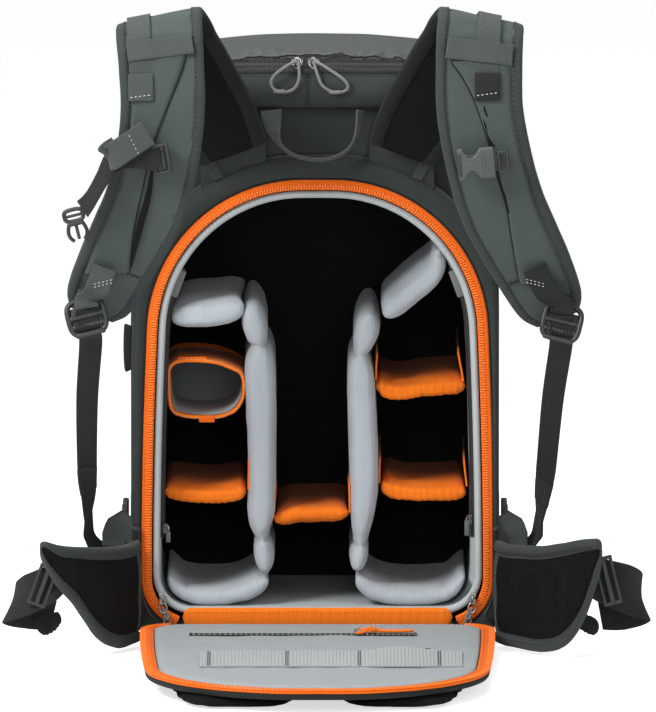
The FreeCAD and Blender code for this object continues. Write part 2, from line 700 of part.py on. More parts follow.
# ---------------------------------------------------------------- checks and files
bad = [obj.Name for obj in doc.Objects if "Invalid" in obj.State or "Error" in obj.State]
assert not bad, bad
os.makedirs("parts", exist_ok=True)
names = set()
for obj in parts:
    shape = obj.Shape
    assert not shape.isNull() and shape.isValid(), (obj.Label, "shape is not valid")
    assert shape.Volume > 1, (obj.Label, "no volume")
    assert obj.Label not in names, obj.Label
    names.add(obj.Label)
    shape.exportStep(os.path.join("parts", obj.Label + ".step"))
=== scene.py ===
import bpy
import bmesh
import math
import json
import random
import numpy as np
from mathutils import Vector, Matrix, noise

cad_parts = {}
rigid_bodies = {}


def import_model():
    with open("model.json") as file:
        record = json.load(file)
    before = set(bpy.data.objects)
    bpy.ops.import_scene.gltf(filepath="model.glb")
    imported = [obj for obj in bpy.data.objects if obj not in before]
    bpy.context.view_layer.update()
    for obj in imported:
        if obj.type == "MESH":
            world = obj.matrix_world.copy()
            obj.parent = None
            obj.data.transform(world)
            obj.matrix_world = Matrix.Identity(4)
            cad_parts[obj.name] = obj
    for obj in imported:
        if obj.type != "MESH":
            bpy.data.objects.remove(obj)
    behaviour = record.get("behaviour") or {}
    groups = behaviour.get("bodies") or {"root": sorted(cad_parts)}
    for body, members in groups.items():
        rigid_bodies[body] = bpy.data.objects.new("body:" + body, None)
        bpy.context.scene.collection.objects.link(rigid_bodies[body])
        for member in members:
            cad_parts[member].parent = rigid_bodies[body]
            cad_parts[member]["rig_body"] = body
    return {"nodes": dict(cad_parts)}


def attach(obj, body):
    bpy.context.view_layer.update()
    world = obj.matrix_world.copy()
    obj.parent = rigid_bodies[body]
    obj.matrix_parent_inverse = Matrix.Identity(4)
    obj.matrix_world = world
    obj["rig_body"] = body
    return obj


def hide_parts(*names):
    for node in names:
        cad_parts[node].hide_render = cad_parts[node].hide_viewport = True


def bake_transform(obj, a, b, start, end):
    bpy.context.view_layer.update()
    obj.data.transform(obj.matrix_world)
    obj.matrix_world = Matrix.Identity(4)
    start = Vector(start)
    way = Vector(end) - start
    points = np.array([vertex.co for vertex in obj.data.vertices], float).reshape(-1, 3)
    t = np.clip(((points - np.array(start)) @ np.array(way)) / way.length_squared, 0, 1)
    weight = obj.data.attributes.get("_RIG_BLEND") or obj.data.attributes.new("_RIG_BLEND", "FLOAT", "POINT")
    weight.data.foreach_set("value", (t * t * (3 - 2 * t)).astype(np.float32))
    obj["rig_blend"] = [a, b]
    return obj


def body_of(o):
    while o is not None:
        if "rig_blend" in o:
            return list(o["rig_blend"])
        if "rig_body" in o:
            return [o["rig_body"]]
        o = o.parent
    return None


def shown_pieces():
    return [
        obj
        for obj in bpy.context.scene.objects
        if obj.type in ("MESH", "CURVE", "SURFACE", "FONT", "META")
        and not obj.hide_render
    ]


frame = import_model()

MM = 0.001
random.seed(7)
rng = np.random.default_rng(7)
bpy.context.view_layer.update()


# ------------------------------------------------------------------ materials
def mnode(nt, op, a, b=None, c=None, clamp=False):
    n = nt.nodes.new("ShaderNodeMath")
    n.operation = op
    n.use_clamp = clamp
    for i, v in enumerate((a, b, c)):
        if v is None:
            continue
        if isinstance(v, (int, float)):
            n.inputs[i].default_value = v
        else:
            nt.links.new(v, n.inputs[i])
    return n.outputs[0]


def mixc(nt, f, a, b):
    n = nt.nodes.new("ShaderNodeMix")
    n.data_type = "RGBA"
    for sock, v in ((n.inputs[0], f), (n.inputs[6], a), (n.inputs[7], b)):
        if isinstance(v, (int, float)):
            sock.default_value = v
        elif isinstance(v, tuple):
            sock.default_value = (*v, 1.0) if len(v) == 3 else v
        else:
            nt.links.new(v, sock)
    return n.outputs[2]


def noise_tex(nt, scale, detail=3.0, vec=None):
    n = nt.nodes.new("ShaderNodeTexNoise")
    n.inputs["Scale"].default_value = scale
    n.inputs["Detail"].default_value = detail
    if vec is not None:
        nt.links.new(vec, n.inputs["Vector"])
    return n.outputs["Fac"]


def lin(c):
    return tuple((x / 12.92 if x <= 0.04045 else ((x + 0.055) / 1.055) ** 2.4) for x in c)


def srgb(r, g, b):
    return lin((r / 255.0, g / 255.0, b / 255.0))


MAT = {}


def fabric(name, rgb, kind="weave", pitch=2.0, rough=0.85, bump=0.35, var=0.10, sheen=0.2, dark=0.78, depth=0.0005, second=None, fade=None):
    m = bpy.data.materials.new(name)
    m.use_nodes = True
    nt = m.node_tree
    p = nt.nodes["Principled BSDF"]
    L = nt.links
    tc = nt.nodes.new("ShaderNodeTexCoord")
    obj = tc.outputs["Object"]
    k = 2 * math.pi / (pitch * MM)
    sep = nt.nodes.new("ShaderNodeSeparateXYZ")
    L.new(obj, sep.inputs[0])
    sx, sy, sz = [mnode(nt, "SINE", mnode(nt, "MULTIPLY", sep.outputs[i], k)) for i in range(3)]
    geo = nt.nodes.new("ShaderNodeNewGeometry")
    ab = nt.nodes.new("ShaderNodeVectorMath")
    ab.operation = "ABSOLUTE"
    L.new(tc.outputs["Normal"], ab.inputs[0])
    sn = nt.nodes.new("ShaderNodeSeparateXYZ")
    L.new(ab.outputs[0], sn.inputs[0])
    nx, ny, nz = sn.outputs[0], sn.outputs[1], sn.outputs[2]

    def wsum(a, b, c):
        return mnode(nt, "ADD", mnode(nt, "ADD", mnode(nt, "MULTIPLY", nx, a), mnode(nt, "MULTIPLY", ny, b)), mnode(nt, "MULTIPLY", nz, c))

    mul = lambda a, b: mnode(nt, "MULTIPLY", a, b)
    if kind == "ribx":
        h = wsum(sz, sz, sy)
    elif kind == "velour":
        h = wsum(sy, sx, sx)
        h = mnode(nt, "ADD", mnode(nt, "MULTIPLY", h, 0.45), mnode(nt, "SUBTRACT", noise_tex(nt, 1100, 2, obj), 0.5))
    elif kind == "web":
        uv = nt.nodes.new("ShaderNodeSeparateXYZ")
        L.new(tc.outputs["UV"], uv.inputs[0])
        u = mnode(nt, "ABSOLUTE", mnode(nt, "SUBTRACT", mnode(nt, "FRACT", mnode(nt, "MULTIPLY", uv.outputs[0], 250.0)), 0.5))
        h = mnode(nt, "SINE", mnode(nt, "MULTIPLY", mnode(nt, "ADD", uv.outputs[1], mnode(nt, "MULTIPLY", u, 0.0022)), k))
    else:
        h = wsum(mul(sy, sz), mul(sx, sz), mul(sx, sy))
    big = noise_tex(nt, 14.0, 4, obj)
    fine = noise_tex(nt, 700.0, 2, obj)
    c_lo = tuple(max(0.0, x * (1 - var)) for x in rgb)
    c_hi = tuple(min(1.0, x * (1 + var)) for x in rgb)
    col = mixc(nt, big, c_lo, c_hi)
    hh = mnode(nt, "MULTIPLY_ADD", h, 0.5, 0.5, clamp=True)
    if kind == "mesh":
        hole = mnode(nt, "SMOOTH_MIN", 1.0, mnode(nt, "MULTIPLY", hh, 1.5), 0.3)
        col = mixc(nt, hh, tuple(x * 0.18 for x in rgb), col)
    else:
        col = mixc(nt, hh, mixc(nt, 1.0, col, mixc(nt, 1 - dark, col, (0.0, 0.0, 0.0))), col)
    if second:
        col = mixc(nt, mnode(nt, "GREATER_THAN", fine, 0.56), col, second)
    if fade:
        # deeper cloth sits in the shade of its neighbours
        mr = nt.nodes.new("ShaderNodeMapRange")
        mr.interpolation_type = "SMOOTHSTEP"
        mr.inputs[1].default_value, mr.inputs[2].default_value = fade[0] * MM, fade[1] * MM
        mr.inputs[3].default_value, mr.inputs[4].default_value = 0.0, 1.0 - fade[2]
        L.new(sep.outputs[1], mr.inputs[0])
        col = mixc(nt, mr.outputs[0], col, tuple(x * 0.1 for x in rgb))
    L.new(col, p.inputs["Base Color"])
    rr = mnode(nt, "MULTIPLY_ADD", fine, 0.18, rough - 0.09, clamp=True)
    L.new(rr, p.inputs["Roughness"])
    bp = nt.nodes.new("ShaderNodeBump")
    bp.inputs["Strength"].default_value = bump
    bp.inputs["Distance"].default_value = depth
    L.new(mnode(nt, "ADD", h, mnode(nt, "MULTIPLY", fine, 0.8)), bp.inputs["Height"])
    L.new(bp.outputs[0], p.inputs["Normal"])
    p.inputs["Sheen Weight"].default_value = sheen
    p.inputs["Sheen Roughness"].default_value = 0.5
    p.inputs["Specular IOR Level"].default_value = 0.14
    MAT[name] = m
    return m


def hard(name, rgb, rough=0.4, metal=0.0, bump=0.1, scale=900.0, var=0.08, spec=0.5):
    m = bpy.data.materials.new(name)
    m.use_nodes = True
    nt = m.node_tree
    p = nt.nodes["Principled BSDF"]
    tc = nt.nodes.new("ShaderNodeTexCoord")
    f = noise_tex(nt, scale, 3, tc.outputs["Object"])
    g = noise_tex(nt, 60, 3, tc.outputs["Object"])
    col = mixc(nt, g, tuple(x * (1 - var) for x in rgb), tuple(min(1, x * (1 + var)) for x in rgb))
    nt.links.new(col, p.inputs["Base Color"])
    nt.links.new(mnode(nt, "MULTIPLY_ADD", g, 0.2, rough - 0.1, clamp=True), p.inputs["Roughness"])
    p.inputs["Metallic"].default_value = metal
    p.inputs["Specular IOR Level"].default_value = spec
    bp = nt.nodes.new("ShaderNodeBump")
    bp.inputs["Strength"].default_value = bump
    bp.inputs["Distance"].default_value = 0.0002
    nt.links.new(f, bp.inputs["Height"])
    nt.links.new(bp.outputs[0], p.inputs["Normal"])
    MAT[name] = m
    return m


fabric("pack_cloth", srgb(50, 56, 54), pitch=1.9, rough=0.8, bump=0.5, sheen=0.08)
fabric("pack_cloth_dark", srgb(36, 39, 38), pitch=1.9, rough=0.85, bump=0.5, sheen=0.04)
fabric("strap_cloth", srgb(72, 81, 77), pitch=1.7, rough=0.8, bump=0.45, sheen=0.1)
fabric("binding", srgb(58, 63, 63), kind="ribx", pitch=1.4, rough=0.8, bump=0.35, sheen=0.08)
fabric("binding_dark", srgb(30, 31, 31), kind="ribx", pitch=1.4, rough=0.8, bump=0.35, sheen=0.03)
fabric("mesh_black", srgb(27, 26, 27), kind="mesh", pitch=3.0, rough=0.9, bump=0.8, depth=0.001, sheen=0.0)
fabric("webbing", srgb(38, 39, 39), kind="web", pitch=1.6, rough=0.7, bump=0.6, sheen=0.05)
fabric("webbing_light", srgb(74, 80, 79), kind="web", pitch=1.6, rough=0.7, bump=0.6, sheen=0.1)
fabric("lining", srgb(172, 179, 181), pitch=1.6, rough=0.9, bump=0.25, sheen=0.1, dark=0.9, var=0.05, fade=(20, 120, 0.3))
fabric("lining_door", srgb(146, 152, 154), pitch=1.6, rough=0.9, bump=0.25, sheen=0.1, dark=0.92, var=0.05)
fabric("velour", srgb(168, 175, 181), kind="velour", pitch=2.6, rough=0.95, bump=0.4, sheen=0.25, dark=0.9, var=0.05, fade=(16, 95, 0.12))
# near-black cloth standing in for shade: painted shade at the back of the compartment and in the strap slits
fabric("inner_dark", srgb(24, 24, 25), pitch=2.0, rough=0.95, bump=0.3, sheen=0.0)
fabric("orange_cloth", srgb(240, 120, 26), pitch=1.6, rough=0.75, bump=0.25, sheen=0.04, dark=0.88, var=0.06, fade=(28, 115, 0.2))
fabric("orange_tape", srgb(236, 106, 22), kind="ribx", pitch=1.3, rough=0.7, bump=0.4, sheen=0.05, dark=0.8, var=0.06)
fabric("dark_tape", srgb(50, 49, 47), kind="ribx", pitch=1.3, rough=0.8, bump=0.4, sheen=0.1)
fabric("ribbed_grey", srgb(88, 93, 92), kind="ribx", pitch=4.2, rough=0.85, bump=0.9, depth=0.0012, sheen=0.08, dark=0.62)
fabric("thread_light", srgb(190, 192, 188), pitch=1.0, rough=0.8, bump=0.2, sheen=0.2)
fabric("thread_dark", srgb(28, 29, 29), pitch=1.0, rough=0.8, bump=0.2, sheen=0.1)
fabric("cord_grey", srgb(122, 124, 120), kind="weave", pitch=1.5, rough=0.75, bump=0.5, sheen=0.2)
fabric("cord_orange", srgb(240, 120, 30), kind="weave", pitch=1.5, rough=0.7, bump=0.5, sheen=0.2)
fabric("elastic", srgb(160, 165, 166), kind="web", pitch=3.2, rough=0.85, bump=0.7, sheen=0.1, dark=0.86)
hard("teeth_orange", srgb(243, 122, 30), rough=0.45, bump=0.1)
hard("teeth_dark", srgb(40, 40, 40), rough=0.45, bump=0.1)
hard("metal", srgb(150, 150, 148), rough=0.35, metal=1.0, bump=0.15)
hard("plastic_dark", srgb(34, 36, 36), rough=0.45, bump=0.25)
hard("plastic_light", srgb(84, 92, 89), rough=0.45, bump=0.2)
hard("plastic_mid", srgb(62, 67, 66), rough=0.45, bump=0.2)
hard("stiff_sheet", srgb(40, 40, 40), rough=0.6, bump=0.2)


# ------------------------------------------------------------------ mesh tools
def make(name, V, F, mats, body, midx=None, rep=(), uv=None, smooth=True):
    me = bpy.data.meshes.new(name)
    V = np.asarray(V, float) * MM
    me.from_pydata([tuple(v) for v in V], [], F)
    if isinstance(mats, str):
        mats = [mats]
    for m in mats:
        me.materials.append(MAT[m])
    if midx is not None:
        me.polygons.foreach_set("material_index", np.asarray(midx, np.int32))
    if smooth:
        me.polygons.foreach_set("use_smooth", np.ones(len(me.polygons), bool))
    if uv is not None:
        lay = me.uv_layers.new(name="UVMap")
        li = np.zeros(len(me.loops), np.int32)
        me.loops.foreach_get("vertex_index", li)
        lay.data.foreach_set("uv", (np.asarray(uv, float)[li] * MM).astype(np.float32).ravel())
    me.update()
    o = bpy.data.objects.new(name, me)
    bpy.context.scene.collection.objects.link(o)
    if body:
        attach(o, body)
    if rep:
        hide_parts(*rep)
    return o


def grid_faces(n, m, wrap_n=False, wrap_m=False, flip=False):
    F = []
    for i in range(n if wrap_n else n - 1):
        a = i * m
        b = ((i + 1) % n) * m
        for j in range(m if wrap_m else m - 1):
            k = (j + 1) % m
            f = (a + j, a + k, b + k, b + j)
            F.append(f[::-1] if flip else f)
    return F


def resample(P, n, closed=False):
    P = np.asarray(P, float)
    if closed:
        P = np.vstack([P, P[:1]])
    d = np.r_[0, np.cumsum(np.linalg.norm(np.diff(P[:, :3], axis=0), axis=1))]
    s = np.linspace(0, d[-1], n, endpoint=not closed)
    return np.stack([np.interp(s, d, P[:, k]) for k in range(P.shape[1])], 1)


def cat(P, n, closed=False):
    P = np.asarray(P, float)
    ext = np.vstack([P[-1:], P, P[:2]]) if closed else np.vstack([2 * P[:1] - P[1:2], P, 2 * P[-1:] - P[-2:-1]])
    t = np.linspace(0, 1, 24, endpoint=False)[:, None]
    out = []
    for i in range(len(P) if closed else len(P) - 1):
        a, b, c, d = ext[i:i + 4]
        out.append(0.5 * (2 * b + (c - a) * t + (2 * a - 5 * b + 4 * c - d) * t ** 2 + (3 * b - a - 3 * c + d) * t ** 3))
    if not closed:
        out.append(P[-1:])
    return resample(np.vstack(out), n, closed)


def frames(path, wdir, closed=False):
    path = np.asarray(path, float)
    if closed:
        T = np.roll(path, -1, 0) - np.roll(path, 1, 0)
    else:
        T = np.gradient(path, axis=0)
    T /= np.linalg.norm(T, axis=1)[:, None] + 1e-12
    W = np.broadcast_to(np.asarray(wdir, float), path.shape).copy()
    W -= (W * T).sum(1)[:, None] * T
    W /= np.linalg.norm(W, axis=1)[:, None] + 1e-12
    return T, W, np.cross(T, W)


def sweep(name, path, wdir, prof, mats, body, closed=False, cap=True, rep=(), midx_fn=None, lift=0.0, build=True):
    """Runs a closed profile (columns across, outwards) along a path."""
    path = np.asarray(path, float)
    T, W, N = frames(path, wdir, closed)
    prof = np.asarray(prof, float)
    if prof.ndim == 2:
        prof = np.broadcast_to(prof, (len(path),) + prof.shape)
    n, m = prof.shape[:2]
    P2 = np.concatenate([prof, prof[:, :1]], 1)
    V = path[:, None, :] + W[:, None, :] * P2[..., 0:1] + N[:, None, :] * (P2[..., 1:2] + lift)
    F = grid_faces(n, m + 1, wrap_n=closed)
    per = np.concatenate([np.zeros((n, 1)), np.cumsum(np.linalg.norm(np.diff(P2, axis=1), axis=2), 1)], 1)
    length = np.r_[0, np.cumsum(np.linalg.norm(np.diff(path, axis=0), axis=1))]
    uv = np.stack([per, np.broadcast_to(length[:, None], (n, m + 1))], 2).reshape(-1, 2)
    midx = None
    if midx_fn:
        midx = [midx_fn(i % m) for i in range(len(F))]
    V = V.reshape(-1, 3)
    if cap and not closed:
        F = list(F) + [tuple(range(m))[::-1], tuple((n - 1) * (m + 1) + j for j in range(m))]
        if midx is not None:
            midx += [0, 0]
    if not build:
        return V, F, uv
    return make(name, V, F, mats, body, midx=midx, rep=rep, uv=uv)


def circle(r, k=10):
    a = np.linspace(0, 2 * math.pi, k, endpoint=False)
    return np.stack([np.cos(a) * r, np.sin(a) * r], 1)


def flat(w, t, r=None, k=3):
    """Rounded rectangle profile, w across and t thick."""
    r = min(r if r else t / 2, t / 2, w / 2)
    pts = []
    for cx, cz, a0 in ((w / 2 - r, t / 2 - r, 0), (-w / 2 + r, t / 2 - r, 90), (-w / 2 + r, -t / 2 + r, 180), (w / 2 - r, -t / 2 + r, 270)):
        for q in range(k + 1):
            a = math.radians(a0 + 90 * q / k)
            pts.append((cx + r * math.cos(a), cz + r * math.sin(a)))
    res = []
    for i, p in enumerate(pts):
        res.append(p)
        q = pts[(i + 1) % len(pts)]
        if math.dist(p, q) > w / 5:
            for s in np.linspace(0, 1, 7)[1:-1]:
                res.append((p[0] + (q[0] - p[0]) * s, p[1] + (q[1] - p[1]) * s))
    return np.array(res)


def tube(name, path, r, mat, body, closed=False, n=None, k=8, rep=(), build=True):
    path = np.asarray(path, float)
    if n:
        path = cat(path, n, closed)
    T = (np.roll(path, -1, 0) - np.roll(path, 1, 0)) if closed else np.gradient(path, axis=0)
    T /= np.linalg.norm(T, axis=1)[:, None] + 1e-12
    ref = np.array([0.0, 0.0, 1.0])
    if abs(T[0] @ ref) > 0.9:
        ref = np.array([1.0, 0, 0])
    W = [np.cross(T[0], ref)]
    W[0] /= np.linalg.norm(W[0])
    for i in range(1, len(T)):
        w = W[-1] - (W[-1] @ T[i]) * T[i]
        W.append(w / (np.linalg.norm(w) + 1e-12))
    W = np.array(W)
    return sweep(name, path, W, circle(r, k), mat, body, closed=closed, rep=rep, build=build)


class Heap:
    """Collects many small meshes into one object."""

    def __init__(self):
        self.V, self.F, self.n = [], [], 0

    def add(self, V, F):
        V = np.asarray(V, float)
        self.F += [tuple(i + self.n for i in f) for f in F]
        self.V.append(V)
        self.n += len(V)

    def build(self, name, mats, body, slot, rep=(), smooth=False):
        if not self.V:
            return None
        return make(name, np.vstack(self.V), self.F, mats, body, rep=rep, smooth=smooth)


BOXF = [(0, 1, 3, 2), (4, 6, 7, 5), (0, 4, 5, 1), (2, 3, 7, 6), (0, 2, 6, 4), (1, 5, 7, 3)]


def obox(c, a, b, d, la, lb, ld, taper=1.0):
    """Box about c with unit axes a, b, d and side lengths; the d+ end may taper."""
    c, a, b, d = [np.asarray(v, float) for v in (c, a, b, d)]
    V = []
    for sd in (-1, 1):
        k = taper if sd > 0 else 1.0
        for sb in (-1, 1):
            for sa in (-1, 1):
                V.append(c + a * la / 2 * sa * k + b * lb / 2 * sb * k + d * ld / 2 * sd)
    F = [(0, 2, 3, 1), (4, 5, 7, 6), (0, 1, 5, 4), (2, 6, 7, 3), (0, 4, 6, 2), (1, 3, 7, 5)]
    return np.array(V), F


def stitch_row(heap, path, normal, length=2.6, gap=1.6, r=0.42, lift=0.15):
    path = np.asarray(path, float)
    L = np.linalg.norm(np.diff(path, axis=0), axis=1).sum()
    k = max(2, int(L / (length + gap)))
    P = resample(path, 2 * k + 1)
    normal = np.asarray(normal, float)
    for i in range(k):
        a, b = P[2 * i], P[2 * i + 1]
        t = b - a
        m = np.linalg.norm(t)
        if m < 1e-6:
            continue
        t /= m
        nn = normal if normal.ndim == 1 else normal[min(len(normal) - 1, int(i / k * len(normal)))]
        s = np.cross(t, nn)
        s /= np.linalg.norm(s) + 1e-9
        c = (a + b) / 2 + nn * lift
        h = t * (length / 2)
        V = [c - h, c - s * r - h * 0.4, c + nn * r * 1.2 - h * 0.4, c + s * r - h * 0.4,
             c - s * r + h * 0.4, c + nn * r * 1.2 + h * 0.4, c + s * r + h * 0.4, c + h]
        F = [(0, 1, 2), (0, 2, 3), (1, 4, 5, 2), (2, 5, 6, 3), (4, 7, 5), (5, 7, 6)]
        heap.add(V, F)


def teeth_row(heap, path, wdir, normal, pitch=2.2, w=3.6, t=1.1, hgt=1.4, closed=False):
    path = np.asarray(path, float)
    L = np.linalg.norm(np.diff(path, axis=0), axis=1).sum()
    n = int(L / pitch)
    cols = np.hstack([path, np.broadcast_to(wdir, path.shape), np.broadcast_to(normal, path.shape)])
    R = resample(cols, n)
    for i in range(n):
        p, w_, nn = R[i, :3], R[i, 3:6], R[i, 6:9]
        w_ = w_ / np.linalg.norm(w_)
        nn = nn / np.linalg.norm(nn)
        tt = np.cross(w_, nn)
        off = 0.35 if i % 2 else -0.35
        V, F = obox(p + w_ * off + nn * hgt / 2, w_, tt, nn, w, t, hgt, taper=0.72)
        heap.add(V, F)


def fbm(p, scale, seed=0.0):
    return noise.noise(Vector((p[0] / scale + seed, p[1] / scale - seed * 0.7, p[2] / scale + seed * 1.3)))


def arch(w, zb, rb, bow, sh, top, side=None, n=240):
    """Arch outline in XZ from the bottom centre anticlockwise round to it again, n points."""
    zs = zb + rb
    z1 = side if side else zs
    c1x, dz = w - bow, top - sh - z1
    x2 = c1x + math.sqrt((bow - sh) ** 2 - dz ** 2)
    th = math.atan2(dz, x2 - c1x)
    R = [(0, zb), (w - rb, zb)]
    R += [(w - rb + rb * math.cos(a), zs + rb * math.sin(a)) for a in np.linspace(-math.pi / 2, 0, 24)[1:]]
    if side:
        R += [(w, z) for z in np.linspace(zs, z1, 20)[1:]]
    R += [(c1x + bow * math.cos(a), z1 + bow * math.sin(a)) for a in np.linspace(0, th, 40)[1:]]
    R += [(x2 + sh * math.cos(a), top - sh + sh * math.sin(a)) for a in np.linspace(th, math.pi / 2, 30)[1:]]
    R += [(0, top)]
    P = R + [(-x, z) for x, z in R[::-1][1:-1]]
    P = np.array([(x, 0.0, z) for x, z in P])
    return resample(P, n, closed=True)


def inset_arch(d, base=None, n=240):
    return arch(158 - d, 14 + (d if base is None else base), 46 - min(d, 40), 4928 - d, 140 - d, 420 - d, n=n)


def outward(P):
    """In-plane outward unit normals of a closed XZ outline."""
    T = np.roll(P, -1, 0) - np.roll(P, 1, 0)
    T /= np.linalg.norm(T, axis=1)[:, None] + 1e-12
    N = np.stack([T[:, 2], np.zeros(len(P)), -T[:, 0]], 1)
    return N


def to_door(P):
    """Closed-door coordinates to the folded-down door."""
    P = np.asarray(P, float)
    return np.stack([P[..., 0], -5 - (P[..., 2] - 24), 24 + (P[..., 1] + 5)], -1)


# ------------------------------------------------------------------ shaping tools
def loops_mesh(name, loops, mats, body, rep=(), wrap=True, flip=False, midx=None, smooth=True):
    n, m = len(loops), len(loops[0])
    return make(name, np.vstack(loops), grid_faces(n, m, wrap_m=wrap, flip=flip), mats, body, midx=midx, rep=rep, smooth=smooth)


def at_y(P, y):
    Q = np.array(P, float)
    Q[:, 1] = y
    return Q


def ruffle(P, N, amp, scale, seed=0.0, bias=0.0, stretch=(1, 1, 1)):
    P = np.asarray(P, float)
    out = np.array(P)
    st = np.array(stretch, float)
    for i, p in enumerate(P):
        d = amp * fbm(p * st, scale, seed) + 0.4 * amp * fbm(p * st, scale * 0.37, seed + 3.1) + bias
        out[i] = p + N[i] * d
    return out


def merge(name, objs, body, slot, rep=()):
    """Joins meshes into one piece, keeping their materials."""
    bm = bmesh.new()
    mats, me = [], bpy.data.meshes.new(name)
    uv = bm.loops.layers.uv.new("UVMap")
    for o in objs:
        k0 = len(mats)
        mats += list(o.data.materials)
        off = len(bm.verts)
        bm.from_mesh(o.data)
        bm.verts.ensure_lookup_table()
        bm.faces.ensure_lookup_table()
        for f in bm.faces[-len(o.data.polygons):]:
            f.material_index += k0
    bm.to_mesh(me)
    bm.free()
    for m in mats:
        me.materials.append(m)
    res = bpy.data.objects.new(name, me)
    bpy.context.scene.collection.objects.link(res)
    for o in objs:
        bpy.data.objects.remove(o)
    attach(res, body)
    if rep:
        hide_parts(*rep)
    return res


def stack(parts):
    """Collects (V, F, material number) pieces into one vertex and face list."""
    V, F, M, n = [], [], [], 0
    for v, f, k in parts:
        v = np.asarray(v, float)
        V.append(v)
        F += [tuple(i + n for i in q) for q in f]
        M += [k] * len(f)
        n += len(v)
    return np.vstack(V), F, M


def rbox(c, size, r, axes=None, k=3, bulge=0.0):
    """Rounded block as vertices and faces: a profile in the first two axes swept along the third, with rounded ends."""
    c = np.asarray(c, float)
    ax = np.eye(3) if axes is None else np.asarray(axes, float)
    w, d, h = size
    r = min(r, w / 2 - 0.01, d / 2 - 0.01, h / 2 - 0.01)
    rows = []
    for q in range(k + 1):
        a = math.pi / 2 * q / k
        rows.append((-h / 2 + r - r * math.cos(a), r * (1 - math.sin(a))))
    rows += [(-z, s) for z, s in rows[::-1]]
    base = np.array(flat(w, d, r, k), float)
    V, m = [], None
    V.append([[0, 0, -h / 2]] * 1)
    for z, s in rows:
        P = base * np.array([(w - 2 * s) / w, (d - 2 * s) / d])
        m = len(P)
        V.append([(x, y * (1 + bulge * (1 - (2 * x / w) ** 2) * (1 - (2 * z / h) ** 2)), z) for x, y in P])
    V.append([[0, 0, h / 2]])
    pts = np.array([p for row in V for p in row], float)
    n = len(rows)
    F = []
    for i in range(n - 1):
        for j in range(m):
            a, b = 1 + i * m + j, 1 + i * m + (j + 1) % m
            F.append((a, b, b + m, a + m))
    last = 1 + n * m
    for j in range(m):
        F.append((0, 1 + (j + 1) % m, 1 + j))
        F.append((last, 1 + (n - 1) * m + j, 1 + (n - 1) * m + (j + 1) % m))
    return c + pts @ ax, F


def unit(v):
    v = np.asarray(v, float)
    return v / (np.linalg.norm(v) + 1e-12)


def torus(c, ax1, ax2, r1, r2, r, n=28, k=8, power=2.0):
    """Ring in the plane of two unit axes; power above 2 squares it off."""
    c, ax1, ax2 = [np.asarray(v, float) for v in (c, ax1, ax2)]
    path = []
    for a in np.linspace(0, 2 * math.pi, n, endpoint=False):
        ca, sa = math.cos(a), math.sin(a)
        e = 2.0 / power
        path.append(c + ax1 * r1 * np.sign(ca) * abs(ca) ** e + ax2 * r2 * np.sign(sa) * abs(sa) ** e)
    V, F, _ = tube("t", path, r, "metal", None, closed=True, k=k, build=False)
    return V, F


# ------------------------------------------------------------------ pack shell
def shell_loop(d, n=340):
    return arch(169 - d, d, 42 - d * 0.9, 620 - d, 62 - d, 519 - d, 292, n=n)


NS = 340
base_out = shell_loop(0, NS)
ON = outward(base_out)
inner_rear = arch(151.5, 20, 34, 4920, 134, 432, n=NS)
loops = []
for t in np.linspace(0, 1, 8):
    q = inner_rear * (1 - t) + base_out * t
    loops.append(at_y(q, 8.8 - 0.2 * math.sin(math.pi * t)))
for y in np.r_[9.5, 11, 14, np.linspace(19, 192, 30)]:
    P = at_y(base_out, y)
    side = np.clip(np.abs(ON[:, 0]), 0, 1)
    calm = np.clip((P[:, 2] - 8) / 30, 0, 1) * np.clip((y - 9) / 12, 0, 1) * np.clip((196 - y) / 14, 0.25, 1)
    Q = ruffle(P, ON, 2.6, 62, 1.0, 0.2, (1, 1.6, 0.55))
    P = P + (Q - P) * calm[:, None]
    under = np.clip((P[:, 2] - 20) / 30, 0, 1) * side
    P[:, 0] -= np.sign(P[:, 0]) * 1.6 * under * math.sin(math.pi * min(1, max(0, (y - 9) / 183))) ** 2 * 0
    loops.append(P)
for q in range(1, 11):
    a = math.pi / 2 * q / 10
    P = at_y(shell_loop(34 * (1 - math.cos(a)), NS), 192 + 34 * math.sin(a))
    loops.append(ruffle(P, outward(P), 1.0, 50, 2.0))
cap = shell_loop(34, NS)
mid = np.array([0, 0, 258.0])
for s in (0.93, 0.84, 0.72, 0.58, 0.42, 0.26, 0.1, 0.002):
    P = mid + (cap - mid) * s
    P[:, 1] = 226 + 1.2 * (1 - s)
    loops.append(P)
shell = loops_mesh("shell_fabric", loops, "pack_cloth", "pack", rep=("outer_shell",), flip=True)

# piping along the rear and front seams, and the seam down the middle of the gusset
seam = []
for y, r, out in ((10.0, 2.1, 0.6), (193.5, 1.9, 0.3)):
    P = at_y(base_out + ON * out, y)
    P[:, 2] = np.maximum(P[:, 2], r + 0.1)
    V, F, _ = tube("s", P, r, "binding", None, closed=True, k=8, build=False)
    seam.append((V, F, 0))
for y in (68, 150):
    sel = base_out[:, 2] > 2
    P = at_y(base_out + ON * 0.7, y)
    keepz = (P[:, 2] > 4)
    i0 = int(np.argmax(keepz))
    i1 = len(P) - int(np.argmax(keepz[::-1]))
    V, F, _ = tube("s", P[i0:i1], 0.9, "thread_dark", None, k=6, build=False)
    seam.append((V, F, 1))
V, F, M = stack(seam)
make("shell_piping", V, F, ["binding", "thread_dark"], "pack", midx=M)
hp = Heap()
for y in (13.6, 64.8, 71.2, 146.8, 153.2, 189.6):
    P = at_y(base_out + ON * 0.9, y)[12:-12]
    stitch_row(hp, P, ON[12:-12], length=2.8, gap=2.2, r=0.36, lift=0.35)
hp.build("shell_stitches", "thread_dark", "pack", "pack_fabric")

# ------------------------------------------------------------------ padded frame around the opening
NF = 420
f_out = arch(169, 0, 42, 620, 150, 441, 250, n=NF)
f_in = arch(158.7, 13.3, 46.7, 4928.7, 140.7, 420.7, n=NF)
